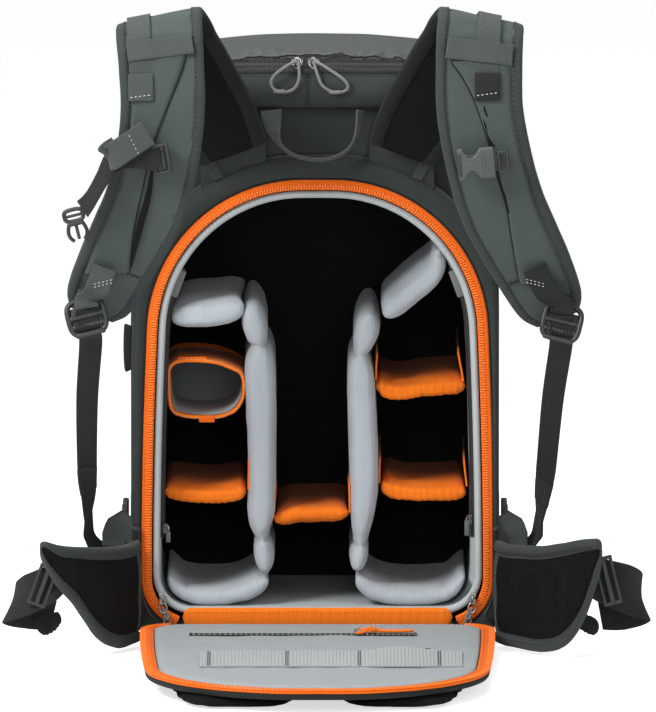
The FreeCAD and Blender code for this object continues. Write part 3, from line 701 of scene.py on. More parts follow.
# follow the two outlines at matching places
f_in = resample(f_in, 2400, closed=True)
idx, k = [], 0
for p in f_out:
    d2 = ((f_in - p) ** 2).sum(1)
    d2 += 0.0
    idx.append(int(np.argmin(d2)))
f_in = f_in[idx]
FO = outward(f_out)
loops = []
Wd = np.linalg.norm(f_out - f_in, axis=1)
K = 16
for j in range(K + 1):
    t = j / K
    P = f_out * (1 - t) + f_in * t
    puff = (0.4 + np.minimum(Wd * 0.20, 5.0) * math.sin(math.pi * min(1, max(0, (t * 1.0)))) ** 0.62)
    near_foot = np.clip((P[:, 2] - 2) / 26, 0.12, 1)
    P[:, 1] = -puff * near_foot
    if 0 < j < K:
        P[:, 1] += np.array([0.55 * fbm(p * np.array([1, 1, 1.0]), 11, 5.0) + 0.4 * fbm(p, 34, 6.0) for p in P])
    loops.append(P)
edge_out = [at_y(f_out, 8.2), at_y(f_out + FO * 0.25, 3.0), at_y(f_out + FO * 0.2, 0.6)]
edge_in = [at_y(f_in, 2.0), at_y(f_in, 7.5)]
loops_mesh("frame_pad", edge_out + loops + edge_in, "pack_cloth", "pack", rep=("back_frame_panel",))
V1, F1, _ = tube("s", at_y(f_out + FO * 0.2, 0.2), 1.5, "binding", None, closed=True, k=8, build=False)
V2, F2, _ = tube("s", at_y(f_in - outward(f_in) * 0.3, -0.9), 0.9, "thread_dark", None, closed=True, k=6, build=False)
V, F, M = stack([(V1, F1, 0), (V2, F2, 1)])
make("frame_seams", V, F, ["binding", "thread_dark"], "pack", midx=M)
hp = Heap()
t = 0.14
P = f_out * (1 - t) + f_in * t
P[:, 1] = -(0.4 + np.minimum(Wd * 0.2, 5.0) * math.sin(math.pi * t) ** 0.62) * np.clip((P[:, 2] - 2) / 26, 0.12, 1)
stitch_row(hp, P, np.array([0, -1.0, 0]), length=2.6, gap=2.0, r=0.36, lift=0.5)
hp.build("frame_stitches", "thread_dark", "pack", "pack_fabric")

# ------------------------------------------------------------------ orange main zip, body side
NZ = 520
z0 = arch(157.9, 14, 46, 4927.9, 139.9, 419.9, n=NZ)
ZN = outward(z0)


def zip_ring(y_in, y_out, P0, N0, insets):
    return [P0 - N0 * d + np.array([0, y, 0]) for d, y in insets]


keep_zip = ~((np.abs(z0[:, 0]) < 126) & (z0[:, 2] < 40))
i0 = int(np.argmax(keep_zip))
i1 = len(z0) - int(np.argmax(keep_zip[::-1]))
za, zn = z0[i0:i1], ZN[i0:i1]
prof = [(0.2, 1.4), (0.0, 0.2), (0.5, -0.75), (1.6, -1.05), (3.2, -0.95), (5.0, -0.7), (7.4, -0.55), (9.2, -0.35), (9.9, 0.25), (9.9, 1.4)]
zloops = [za - zn * d + np.array([0, y, 0]) for d, y in prof]
loops_mesh("main_zip_tape", zloops, "orange_tape", "pack", rep=("body_zip_track",), wrap=False, flip=True)
hp = Heap()
mid_line = za - zn * 6.6 + np.array([0, -0.75, 0])
teeth_row(hp, mid_line, zn, np.array([0, -1.0, 0]), pitch=2.35, w=5.2, t=1.45, hgt=1.25)
hp.build("main_zip_teeth", "teeth_orange", "pack", "orange_zip")
hp = Heap()
stitch_row(hp, za - zn * 1.9 + np.array([0, -1.05, 0]), np.array([0, -1.0, 0]), length=2.2, gap=1.8, r=0.3, lift=0.15)
hp.build("main_zip_stitches", "orange_tape", "pack", "orange_zip")

# ------------------------------------------------------------------ light lining of the compartment
NL = 420
l0 = arch(143.9, 30.2, 33, 4913.8, 125.8, 405.8, n=NL)
LN = outward(l0)
loops = []
for d, y in ((3.0, 3.4), (1.6, 1.5), (-0.2, 1.2), (-2.4, 2.2), (-3.4, 4.6), (-2.6, 7.5)):
    P = l0 + LN * (-(-d)) + np.array([0, y, 0])
    P[:, 1] += np.array([0.5 * fbm(p, 9, 2.0) for p in P])
    loops.append(P)
l1 = arch(141.8, 32.2, 30, 4912, 124, 403.8, n=NL)
LN1 = outward(l1)
for y in np.r_[9, 14, 18, 22, 24, 27, 31, 36, 42, np.linspace(50, 203, 20)]:
    P = at_y(l1, y)
    calm = np.clip((y - 9) / 10, 0.1, 1)
    lean = min(1.0, max(0.0, (y - 24) / 14.0))
    lean = lean * lean * (3 - 2 * lean)
    P -= LN1 * (np.where(P[:, 0] > 0, 5.0, 1.6) * np.clip(np.abs(LN1[:, 0]) * 1.6 - 0.5, 0, 1) * lean)[:, None]
    last_wall = np.array(P)
    loops.append(P - LN1 * (np.array([abs(0.9 * fbm(p * np.array([1, 1.5, .5]), 34, 4.0)) for p in P])[:, None] * calm))
cen = np.array([0, 203, 218.0])
for s in (0.9, 0.7, 0.45, 0.2, 0.002):
    P = cen + (at_y(last_wall, 203) - cen) * s
    P[:, 1] = 203.4
    loops.append(P)
# painted shade: the last rings, the back wall deep in the compartment, take near-black cloth in place of the grey
# lining
nl = len(loops)
mi = []
for i in range(nl - 1):
    mi += [1 if i >= nl - 6 else 0] * NL
loops_mesh("liner_fabric", loops, ["lining", "inner_dark"], "pack", rep=("compartment_liner",), midx=mi)
hp = Heap()
stitch_row(hp, l0 + LN * 1.2 + np.array([0, 1.05, 0]), np.array([0, -1.0, 0]), length=2.4, gap=1.8, r=0.3, lift=0.3)
hp.build("liner_stitches", "thread_light", "pack", "lining_fabric")

# ------------------------------------------------------------------ base board and orange padded fold under the opening
bpy_board = frame["nodes"]["base_board"]
bpy_board.data.materials.clear()
bpy_board.data.materials.append(MAT["stiff_sheet"])

rows, NR = [], 150
for x in np.linspace(-120.5, 120.5, NR):
    e = min(1.0, (120.5 - abs(x)) / 7.0)
    e = math.sqrt(max(0.0, 1 - (1 - e) ** 2)) * 0.9 + 0.1
    puck = 0.55 * math.sin(x * 2 * math.pi / 7.8 + 0.8 * math.sin(x / 23)) + 0.45 * noise.noise(Vector((x / 5.0, 2.0, 0)))
    big = 0.9 * noise.noise(Vector((x / 22.0, 0, 4.0)))
    row = []
    for j in range(24):
        a = 2 * math.pi * j / 24
        ca, sa = math.cos(a), math.sin(a)
        ry = 4.0 * e + (0.35 * puck if sa > -0.3 else 0)
        rz = (8.9 + 0.3 * big) * e
        y = 2.5 + ry * np.sign(ca) * abs(ca) ** 0.75
        z = 24.1 + rz * np.sign(sa) * abs(sa) ** 0.75
        z += 0.25 * puck * abs(ca)
        row.append((x, y, z))
    rows.append(row)
pillow = np.array(rows)
P = pillow.reshape(-1, 3)
make("hinge_fold", P, grid_faces(NR, 24, wrap_m=True) + [tuple(range(24)), tuple(range((NR - 1) * 24, NR * 24))[::-1]], "orange_cloth", "pack", rep=("hinge_band",))
hp = Heap()
for zz, yy in ((29.6, -1.35), (19.0, -1.3)):
    L = np.array([(x, yy - 0.2 * math.sin(x / 1.3), zz + 0.5 * noise.noise(Vector((x / 20, zz, 0)))) for x in np.linspace(-116, 116, 120)])
    stitch_row(hp, L, np.array([0, -1.0, 0]), length=2.4, gap=1.8, r=0.34, lift=0.35)
hp.build("hinge_stitches", "orange_tape", "pack", "orange_padding")


# ------------------------------------------------------------------ door, drawn shut and laid down on its fold
ND = 420
d_out = arch(157, 28, 36, 4927, 139, 419, n=ND)
DN = outward(d_out)


def door_loops(items, P0=d_out, N0=DN):
    return [to_door(P0 - N0 * d + np.array([0, y, 0])) for d, y in items]


loops = door_loops([(6.0, -12.2), (1.4, -12.0), (0.3, -12.6), (-0.1, -14.0), (0.2, -15.8), (1.4, -17.2), (3.2, -17.9), (9.0, -18.2)])
cdoor = np.array([0, 0, 222.0])
inner = d_out - DN * 9.0
for s in (0.85, 0.65, 0.45, 0.25, 0.002):
    P = cdoor + (inner - cdoor) * s
    P[:, 1] = -18.2
    loops.append(to_door(P))
loops_mesh("door_shell", loops, "pack_cloth_dark", "door", rep=("door_panel",))

# padded grey inner face with soft creases
line0 = arch(145.7, 32.2, 24.6, 4915.7, 127.7, 407.7, n=ND)
LND = outward(line0)
loops = [to_door(line0 - LND * 1.0 + np.array([0, -11.9, 0])), to_door(line0 + np.array([0, -10.8, 0]))]
cl = np.array([0, 0, 218.0])


def crease(p):
    x, z = p[0], p[2]
    v = 0.8 * noise.noise(Vector((x / 48.0, z / 16.0, 1.0))) + 0.75 * noise.noise(Vector((x / 24.0 + z / 60.0, z / 7.5, 5.0)))
    v += 0.5 * (abs(noise.noise(Vector((x / 75.0 - z / 90.0, z / 24.0, 9.0)))) - 0.2)
    return v


for s in np.r_[1.0 - 0.012 * np.array([0.5, 1.3, 2.4, 4, 6]), np.linspace(0.9, 0.03, 44)]:
    P = cl + (line0 - cl) * s
    e = min(1.0, (1 - s) / 0.075)
    rise = -10.4 + 3.3 * math.sqrt(max(0.0, 1 - (1 - e) ** 2))
    P[:, 1] = rise
    P[:, 1] += np.array([crease(p) for p in P]) * min(1, (1 - s) / 0.1) * 0.85
    P[:, 1] = np.minimum(P[:, 1], -6.4)
    loops.append(to_door(P))
loops_mesh("door_lining_pad", loops, "lining_door", "door", rep=("door_lining",))
hp = Heap()
seamline = cl + (line0 - cl) * 0.965
seamline[:, 1] = -8.05
stitch_row(hp, to_door(seamline), np.array([0, 0, 1.0]), length=2.4, gap=2.0, r=0.3, lift=0.3)
hp.build("door_lining_stitches", "thread_light", "door", "lining_fabric")

# orange zip half on the door's rim
kz = ~((np.abs(d_out[:, 0]) < 132) & (d_out[:, 2] < 60))
i0 = int(np.argmax(kz))
i1 = len(d_out) - int(np.argmax(kz[::-1]))
da, dn = d_out[i0:i1], DN[i0:i1]
prof = [(0.1, -12.0), (-0.4, -11.2), (-0.3, -9.8), (0.7, -8.9), (2.4, -8.75), (5.0, -8.7), (8.0, -8.6), (10.4, -8.5), (11.0, -9.4)]
wob = np.array([0.35 * fbm(p, 26, 8.0) for p in da])
dl = [to_door(da - dn * d + np.stack([np.zeros(len(da)), y + wob, np.zeros(len(da))], 1)) for d, y in prof]
loops_mesh("door_zip_tape", dl, "orange_tape", "door", rep=("door_zip_track",), wrap=False)
hp = Heap()
teeth_row(hp, to_door(da - dn * 1.4 + np.stack([np.zeros(len(da)), -8.9 + wob, np.zeros(len(da))], 1)), to_door(dn) - to_door(np.zeros_like(dn)), np.array([0, 0, 1.0]), pitch=2.35, w=5.2, t=1.45, hgt=1.3)
hp.build("door_zip_teeth", "teeth_orange", "door", "orange_zip")
hp = Heap()
stitch_row(hp, to_door(da - dn * 8.2 + np.stack([np.zeros(len(da)), -8.6 + wob, np.zeros(len(da))], 1)), np.array([0, 0, 1.0]), length=2.4, gap=1.8, r=0.3, lift=0.2)
hp.build("door_zip_stitches", "orange_tape", "door", "orange_zip")

# pocket zip across the door's lining, its slider and the knotted cord
TOPZ = 23.2


def door_strip(x0, x1, yc, half, lift, n=60, th=0.7):
    rows = []
    for x in np.linspace(x0, x1, n):
        w = 0.5 * noise.noise(Vector((x / 40.0, 3.0, 0)))
        rows.append([(x, yc - half + w, lift - 1.6), (x, yc - half + w, lift), (x, yc - 0.4 + w, lift + th * 0.2), (x, yc + 0.4 + w, lift + th * 0.2), (x, yc + half + w, lift), (x, yc + half + w, lift - 1.6)])
    return np.array(rows).reshape(-1, 3), grid_faces(n, 6)


parts = []
V, F = door_strip(-113, 87, -90, 2.6, TOPZ)
parts.append((V, F, 0))
V, F, _ = tube("t", [(x, -90 + 0.5 * noise.noise(Vector((x / 40.0, 3.0, 0))), TOPZ + 0.25) for x in np.linspace(-112, 86, 60)], 0.75, "teeth_dark", None, k=6, build=False)
parts.append((V, F, 1))
for x in (-113, 87):
    V, F = rbox((x, -90, TOPZ + 0.1), (2.6, 7.6, 1.6), 0.5)
    parts.append((V, F, 0))
V, F, M = stack(parts)
make("door_pocket_zip_tape", V, F, ["dark_tape", "teeth_dark"], "door", midx=M, rep=("door_pocket_zip",))
hp = Heap()
for dy in (-4.6, 4.4):
    L = np.array([(x, -90 + dy, TOPZ + 0.1) for x in np.linspace(-116, 90, 90)])
    stitch_row(hp, L, np.array([0, 0, 1.0]), length=2.4, gap=2.2, r=0.3, lift=0.25)
hp.build("door_pocket_zip_stitches", "thread_light", "door", "dark_zip")


def slider_parts(c, along, up, mat0, pull=True, scale=1.0):
    """Zip slider: two plates on a wedge, a bridge and a small tab ring; along runs down the zip and up is away from it."""
    c, along, up = np.asarray(c, float), unit(along), unit(up)
    across = np.cross(along, up)
    A = np.array([across, along, up])
    out = []
    for dz, hh in ((0.7, 1.1), (2.7, 1.0)):
        V, F = rbox((0, 0, 0), (6.6 * scale, 10.4 * scale, hh), 0.5)
        taper = 1 - 0.28 * (V[:, 1] > 1.5 * scale)
        V[:, 0] *= taper
        out.append((c + np.array(V) @ A + up * dz, F, mat0))
    V, F = rbox((0, 2.6 * scale, 1.7), (2.2 * scale, 3.2 * scale, 2.0), 0.4)
    out.append((c + V @ A, F, mat0))
    path = [c + along * s * scale + up * h for s, h in ((-3.4, 3.0), (-2.6, 4.6), (-0.4, 5.4), (2.0, 5.0), (3.4, 3.0))]
    V, F, _ = tube("t", path, 0.8 * scale, "metal", None, n=14, k=8, build=False)
    out.append((V, F, mat0))
    return out


parts = slider_parts((36, -90, TOPZ + 0.2), (-1, 0, 0), (0, 0, 1), 0, scale=0.8)
cord = [(37.5, -90, 27.6), (41, -91.5, 26.8), (46, -92.5, 26.0), (52, -91.2, 26.2), (60, -90.2, 25.8), (70, -89.6, 25.6), (80, -88.4, 25.6), (84, -86.6, 25.6), (84.6, -84.6, 25.6), (82, -84.4, 25.6), (70, -86.6, 25.8), (60, -87.4, 26.0), (52, -88.6, 27.2), (46, -90.0, 27.8), (41, -89.4, 27.4), (37.5, -90, 27.6)]
V, F, _ = tube("t", np.array(cord) * np.array([1, 1, 1]), 1.25, "cord_orange", None, n=150, k=9, build=False)
parts.append((V, F, 1))
kn = []
for a in np.linspace(0, 2 * math.pi * 1.75, 60):
    kn.append((49 + 0.75 * (a - 5.5) * 0.55, -90.4 + 2.9 * math.cos(a), 27.4 + 2.1 * math.sin(a)))
V, F, _ = tube("t", kn, 1.35, "cord_orange", None, k=9, build=False)
parts.append((V, F, 1))
V, F, _ = tube("t", [(44.5, -92.5, 26.4), (39, -95, 25.2), (34, -95.4, 25.0)], 1.3, "cord_orange", None, n=16, k=9, build=False)
parts.append((V, F, 1))
V, F, M = stack(parts)
make("door_pocket_pull", V, F, ["metal", "cord_orange"], "door_pull", midx=M, rep=("door_pocket_slider",))

# woven elastic sewn down in loops
tacks = [-96, -27, 37, 108]
rows, N, NV = [], 180, 21
EY, EH = -237.0, 43.4
for x in np.linspace(-104, 128, N):
    lift, hump = 0.45, 0.0
    for a, b, up in zip(tacks[:-1], tacks[1:], (0.9, 1.1, 3.4)):
        if a < x < b:
            s = math.sin(math.pi * (x - a) / (b - a)) ** 0.8
            lift += up * s
            hump = (up * 1.1 - 0.8) * s
    row = []
    for v in np.linspace(-1, 1, NV):
        y = EY + v * EH + hump * max(0.0, v)
        row.append((x, y, TOPZ - 0.1 + lift * (0.55 + 0.45 * v) + 0.25 * noise.noise(Vector((x / 9.0, y / 26.0, 2.0)))))
    rows.append(row)
G = np.array(rows)
top = G.reshape(-1, 3)
bot = (G - np.array([0, 0, 1.0])).reshape(-1, 3)
F = grid_faces(N, NV)
nb = len(top)
F2 = [tuple(i + nb for i in f)[::-1] for f in F]
rim = []
for i in range(N - 1):
    rim.append((i * NV, (i + 1) * NV, (i + 1) * NV + nb, i * NV + nb)[::-1])
    rim.append((i * NV + NV - 1, (i + 1) * NV + NV - 1, (i + 1) * NV + NV - 1 + nb, i * NV + NV - 1 + nb))
uv = np.stack([np.tile(np.linspace(0, 87, NV), 2 * N), np.tile(np.repeat(np.linspace(0, 232, N), NV), 2)], 1)
make("elastic_loop_band", np.vstack([top, bot]), F + F2 + rim, "elastic", "door", rep=("elastic_loops",), uv=uv)
hp = Heap()
for x in tacks:
    for dx in (-0.9, 0.9):
        stitch_row(hp, np.array([(x + dx, -279, TOPZ + 0.6), (x + dx, -195, TOPZ + 0.6)]), np.array([0, 0, 1.0]), length=1.9, gap=0.5, r=0.42, lift=0.35)
for xa, xb in ((50, 62), (90, 100)):
    V, F = rbox(((xa + xb) / 2, -191.2, TOPZ + 1.4), (xb - xa, 3.2, 2.2), 0.8)
    hp.add(V, F)
hp.build("elastic_tacks", "thread_dark", "door", "lining_fabric")
hp = Heap()
for y in (-281.6, -191.0):
    L = np.array([(x, y, TOPZ + 0.0) for x in np.linspace(-104, 128, 100)])
    stitch_row(hp, L, np.array([0, 0, 1.0]), length=2.2, gap=2.2, r=0.26, lift=0.2)
hp.build("elastic_rows", "elastic", "door", "lining_fabric")

# cloth strip that joins the door's foot to the pack
rows = []
xs = np.linspace(-119, 119, 80)
prof = [(7.4, 15.4), (4.0, 13.6), (0.5, 12.6), (-2.8, 12.9), (-6.0, 14.2), (-9.5, 15.6), (-14.0, 16.4), (-19.0, 16.6)]
P2 = cat([(a, 0, b) for a, b in prof], 22)
for x in xs:
    rows.append([(x, p[0], p[2] + 0.35 * noise.noise(Vector((x / 9.0, p[0] / 6.0, 0)))) for p in P2])
G = np.array(rows)
hinge_cloth = make("hinge_cloth", G.reshape(-1, 3), grid_faces(80, 22), "pack_cloth_dark", None)
sol = hinge_cloth.modifiers.new("thick", "SOLIDIFY")
sol.thickness = 0.0012
sol.offset = 0
bpy.context.view_layer.objects.active = hinge_cloth
hinge_cloth.select_set(True)
bpy.ops.object.modifier_apply(modifier="thick")
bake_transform(hinge_cloth, "pack", "door", start=(0, -0.0005, 0.013), end=(0, -0.0095, 0.0152))


# ------------------------------------------------------------------ upper back: recess, padded panel, zip band, ribbed lid
rows = []
for z in np.linspace(440.5, 484.5, 26):
    w = 138 - 6 * (z - 442) / 42
    row = []
    for x in np.linspace(-w, w, 90):
        f = 1.5 + 1.1 * noise.noise(Vector((x / 26.0, z / 40.0, 3.0))) + 0.7 * noise.noise(Vector((x / 9.0, z / 30.0, 6.0)))
        edge = 1.4 * max(0, (z - 478) / 6) ** 2
        row.append((x, f + edge, z))
    rows.append(row)
G = np.array(rows)
recess = make("recess_cloth", G.reshape(-1, 3), grid_faces(26, 90), "pack_cloth", "pack", rep=("recess_panel",))

profile = cat([(8.0, 0, 485.5), (2.0, 0, 484.9), (-4.5, 0, 485.2), (-9.4, 0, 488.2), (-11.4, 0, 495), (-11.0, 0, 502), (-8.6, 0, 508.5), (-5.4, 0, 513), (-4.0, 0, 515.2), (8.0, 0, 515.2)], 46)
rows, XU = [], np.linspace(-122, 122, 150)
for x in XU:
    e = min(1.0, (122 - abs(x)) / 9.0)
    e = math.sqrt(max(0, 1 - (1 - e) ** 2))
    groove = math.exp(-((x + 7.6) / 1.5) ** 2)
    row = []
    for p in profile:
        y, z = p[0], p[2]
        d = (8.0 - y) * (0.35 + 0.65 * e)
        fold = 1.2 * noise.noise(Vector((x / 40.0, z / 20.0, 1.0))) + 0.5 * noise.noise(Vector((x / 13.0, z / 14.0, 8.0)))
        arcs = 1.6 * max(0.0, 1 - (abs(x) / 122) ** 2) - 1.0
        d = d * (1 - 0.16 * groove) + (fold + arcs) * min(1, d / 8)
        row.append((x, 8.0 - d, z))
    rows.append(row)
G = np.array(rows)
make("upper_pad", G.reshape(-1, 3), grid_faces(150, 46), "pack_cloth", "pack", rep=("upper_back_panel",))
hp = Heap()
stitch_row(hp, G[:, 9] + np.array([0, -0.1, 0]), np.array([0, -0.7, -0.7]), length=2.6, gap=2.2, r=0.34, lift=0.4)
for k in (-5.4, -9.8):
    i = int(np.argmin(np.abs(XU - k)))
    stitch_row(hp, G[i, 8:40], np.array([0, -1.0, 0.0]), length=2.4, gap=2.0, r=0.3, lift=0.4)
stitch_row(hp, G[:, 36], np.array([0, -0.9, 0.4]), length=2.6, gap=2.2, r=0.34, lift=0.4)
hp.build("upper_pad_stitches", "thread_dark", "pack", "pack_fabric")
V, F, _ = tube("t", [(x, 1.0, 484.3 + 0.3 * noise.noise(Vector((x / 20.0, 0, 0)))) for x in np.linspace(-132, 132, 60)], 1.3, "binding", None, k=8, build=False)
make("recess_piping", V, F, "pack_cloth_dark", "pack")

# dark zip band across the top edge: tape, coil and rain flap
def band_rows(pts, n=120, half=112.0, wave=0.5, seed=0.0):
    rows = []
    for x in np.linspace(-half, half, n):
        sag = -2.2 * (abs(x) / half) ** 2.4
        w = wave * noise.noise(Vector((x / 30.0, seed, 0)))
        rows.append([(x, y, z + sag * 0.55 + w) for y, z in pts])
    return np.array(rows)


parts = []
G = band_rows([(-4.6, 515.0), (-4.8, 517.2), (-3.6, 518.6), (0.0, 520.2), (4.0, 521.9), (8.0, 523.4), (9.6, 523.6)])
parts.append((G.reshape(-1, 3), grid_faces(120, 7), 0))
G = band_rows([(-5.0, 516.2), (-5.2, 518.0), (-3.8, 519.3), (-2.2, 519.8)])
parts.append((G.reshape(-1, 3), grid_faces(120, 4), 0))
V, F, M = stack(parts)
make("top_zip_tape", V, F, "dark_tape", "pack", rep=("top_zip_track",))
hp = Heap()
xs = np.arange(-111, 111, 1.9)
for i, x in enumerate(xs):
    sag = -2.2 * (abs(x) / 112) ** 2.4 * 0.55
    V, F = obox((x, 2.2 + (0.3 if i % 2 else -0.3), 521.6 + sag), (1, 0, 0), (0, 0.92, 0.39), (0, -0.39, 0.92), 1.15, 4.4, 1.2, 0.8)
    hp.add(V, F)
hp.build("top_zip_coil", "teeth_dark", "pack", "dark_zip")
hp = Heap()
for y0, zz in ((-4.2, 519.6), (7.4, 523.7)):
    L = np.array([(x, y0, zz - 2.2 * (abs(x) / 112) ** 2.4 * 0.55) for x in np.linspace(-110, 110, 90)])
    stitch_row(hp, L, unit((0, -0.5, 0.9)), length=2.4, gap=2.0, r=0.3, lift=0.2)
hp.build("top_zip_stitches", "thread_dark", "pack", "dark_zip")

# ribbed lid with its soft crinkled front edge
NX, NY = 300, 60
rows = []
for j in range(NY):
    t = j / (NY - 1)
    if t < 0.12:
        s = t / 0.12
        y, z = 11.5 + 2.5 * s, 527.4 + 3.2 * s
    else:
        s = (t - 0.12) / 0.88
        y = 14 + 202 * s
        z = 530.6 + 0.5 * math.sin(min(1, s * 3.2) * math.pi / 2) - 10.0 * max(0, (s - 0.62) / 0.38) ** 2
    row = []
    for x in np.linspace(-119, 119, NX):
        u = abs(x) / 119
        drop = 10.5 * u ** 2.6
        cr = 0.0
        if y < 40:
            k = (40 - y) / 30
            cr = 1.9 * k * noise.noise(Vector((x / 13.0, y / 18.0, 7.0))) + 1.3 * k * abs(noise.noise(Vector((x / 6.0, y / 14.0, 2.0)))) - 1.6 * k * max(0.0, noise.noise(Vector((x / 21.0, y / 60.0, 4.0))))
        cr += 1.0 * noise.noise(Vector((x / 40.0, y / 45.0, 3.0)))
        near = max(0.0, 1 - max(0.0, y - 14) / 70.0)
        cr += 1.5 * near * noise.noise(Vector((x / 9.0, y / 30.0, 11.0))) + 0.55 * near * min(1.0, j / 12.0) * math.sin(x / 2.1 + 2.2 * noise.noise(Vector((x / 30.0, y / 20.0, 1.0))))
        yy = y + (1.8 * noise.noise(Vector((x / 15.0, 5.0, 1.0))) if j < 8 else 0)
        row.append((x, yy, z - drop + cr))
    rows.append(row)
G = np.array(rows)
back = G[-1] * np.array([1, 1, 0]) + np.array([0, 0, 1]) * (G[-1][:, 2:3] - 3.5)
front = G[0] * np.array([1, 1, 0]) + np.array([0, 1.6, 0]) + np.array([0, 0, 1]) * (G[0][:, 2:3] - 1.8)
G = np.concatenate([front[None], G, back[None]], 0)
make("lid_cloth", G.reshape(-1, 3), grid_faces(NY + 2, NX, flip=True), "ribbed_grey", "lid", rep=("top_lid", "lid_zip_track"))
skirt = []
for sx in (-1, 1):
    col = G[:, 0] if sx < 0 else G[:, -1]
    S = np.stack([col, col + np.array([sx * 2.4, 0, -3.0]), col + np.array([sx * 2.8, 0, -6.5])], 1)
    skirt.append((S.reshape(-1, 3), grid_faces(len(col), 3), 0))
G2 = G[4]
V, F, _ = tube("t", G2 + np.array([0, -0.3, 0.4]), 0.6, "t", None, k=6, build=False)
skirt.append((V, F, 1))
tape = []
for x in np.linspace(-112, 112, 100):
    d = 10.5 * (abs(x) / 119) ** 2.6
    tape.append([(x, 9.8, 522.2 - d * 0.6), (x, 10.6, 525.0 - d * 0.8), (x, 13.0, 529.4 - d)])
tape = np.array(tape)
skirt.append((tape.reshape(-1, 3), grid_faces(100, 3), 2))
V, F, M = stack(skirt)
make("lid_edges", V, F, ["ribbed_grey", "thread_dark", "dark_tape"], "lid", midx=M)
# cloth wall under the far edge, on which the lid folds
rows = []
for x in np.linspace(-118, 118, 90):
    d = 10.5 * (abs(x) / 119) ** 2.6
    rows.append([(x, y + 0.5 * noise.noise(Vector((x / 14.0, z / 8.0, 2.0))), z - d) for y, z in ((208.0, 494.0), (211.5, 500.0), (213.2, 506.0), (214.2, 512.0), (214.6, 516.0), (214.4, 519.6))])
G3 = np.array(rows)
fold = make("lid_fold", G3.reshape(-1, 3), grid_faces(90, 6), "ribbed_grey", None)
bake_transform(fold, "pack", "lid", start=(0, 0.2125, 0.505), end=(0, 0.2145, 0.519))

# two zip sliders with pear-shaped cord pulls
for xs0, side, pear in ((-18.0, "left", [(-18.0, -7.0, 526.4), (-22.5, -10.0, 525.6), (-31.0, -13.0, 521.0), (-38.5, -15.0, 515.0), (-41.3, -15.6, 509.0), (-39.5, -15.6, 503.8), (-34.0, -15.4, 500.8), (-27.0, -15.2, 500.4), (-20.5, -14.8, 503.6), (-17.0, -14.0, 509.6), (-16.2, -12.2, 516.5), (-16.8, -9.4, 522.5)]),
                        (-3.5, "right", [(-3.0, -7.0, 526.4), (2.8, -10.0, 524.6), (12.0, -13.0, 519.2), (21.0, -15.0, 513.4), (26.4, -15.6, 508.0), (26.8, -15.6, 503.4), (22.5, -15.4, 500.4), (15.5, -15.2, 500.0), (8.5, -15.0, 502.6), (3.6, -14.4, 507.0), (0.8, -13.0, 513.2), (-1.6, -10.0, 520.6)])):
    parts = slider_parts((xs0, 1.0, 524.2), (1, 0, 0) if side == "right" else (-1, 0, 0), (0, -0.38, 0.92), 0)
    for q, cz in ((0, 1.0),):
        V, F = torus((xs0, -5.2, 524.6), (1, 0, 0), (0, -0.5, -0.86), 3.6, 4.4, 0.75)
        parts.append((V, F, 0))
    V, F, _ = tube("t", pear, 1.35, "cord_grey", None, closed=True, n=90, k=10, build=False)
    parts.append((V, F, 1))
    foot = np.array(pear[6 if side == "left" else 7], float)
    V, F, _ = tube("t", [foot + (-5, 0, 0.5), foot + (0, -0.2, -0.2), foot + (5, 0, 0.2)], 1.75, "cord_grey", None, n=10, k=10, build=False)
    parts.append((V, F, 1))
    V, F, M = stack(parts)
    make("top_pull_" + side, V, F, ["metal", "cord_grey"], "top_pull_" + side, midx=M, rep=("top_slider_" + side,))

# haul handle: webbing folded double along its run
h_path = cat([(-41.5, -11.2, 483.5), (-39.5, -13.0, 469), (-34.5, -16.0, 455.5), (-25, -18.6, 446), (-12, -20.0, 441.3), (1, -20.4, 440.0), (14, -20.0, 441.8), (25, -18.6, 447), (32.5, -16.0, 456), (36.5, -13.0, 469), (38.0, -11.2, 483.5)], 120)
t = np.linspace(0, 1, 120)
Wh = np.zeros((120, 3))
for i, s in enumerate(t):
    k = 1 - min(1, min(s, 1 - s) / 0.30)
    k = k * k * (3 - 2 * k)
    k = k if s < 0.5 else 0.45 * k
    Wh[i] = np.array([0.0, -0.95, 0.28]) * (1 - k) + np.array([1.0 if s < 0.5 else -1.0, 0, 0]) * k
half = np.where(t < 0.5, 5.4 + 4.4 * np.clip(1 - t / 0.24, 0, 1), 5.4 - 0.6 * np.clip(1 - (1 - t) / 0.3, 0, 1))
prof = np.array([flat(2 * h, 2.6, 1.2) for h in half])
sweep("haul_webbing", h_path, Wh, prof, "webbing_light", "handle", rep=("haul_handle",))


# ------------------------------------------------------------------ shoulder straps
LEFT = [((-75.5, -20, 447), 31.5), ((-91, -36, 480), 37), ((-106.5, -53, 511), 38), ((-123, -74, 545), 38), ((-135.5, -96, 569), 38),
        ((-140, -114, 575.5), 38), ((-140, -129, 565), 38), ((-138.3, -138, 541), 37.5), ((-137, -142, 500), 37), ((-142.3, -138, 455), 36.5),
        ((-152.4, -130, 416), 36.5), ((-166, -120, 384.5), 36), ((-179.4, -108, 357), 34), ((-194, -95, 324.5), 30), ((-200.4, -89, 310), 20)]
RIGHT = [((75.5, -20, 447), 31.5), ((92, -36, 480), 37), ((108.5, -53, 511), 38), ((126, -74, 545), 38), ((140, -96, 569), 38),
         ((144.7, -114, 575.5), 38), ((144, -129, 565), 38), ((143.3, -138, 541), 38), ((144, -142, 500), 38), ((152, -138, 455), 38),
         ((162.7, -130, 416), 38), ((176.7, -120, 384.5), 37), ((190.6, -108, 356), 35), ((206.4, -95, 322), 30), ((213.8, -89, 306), 20)]


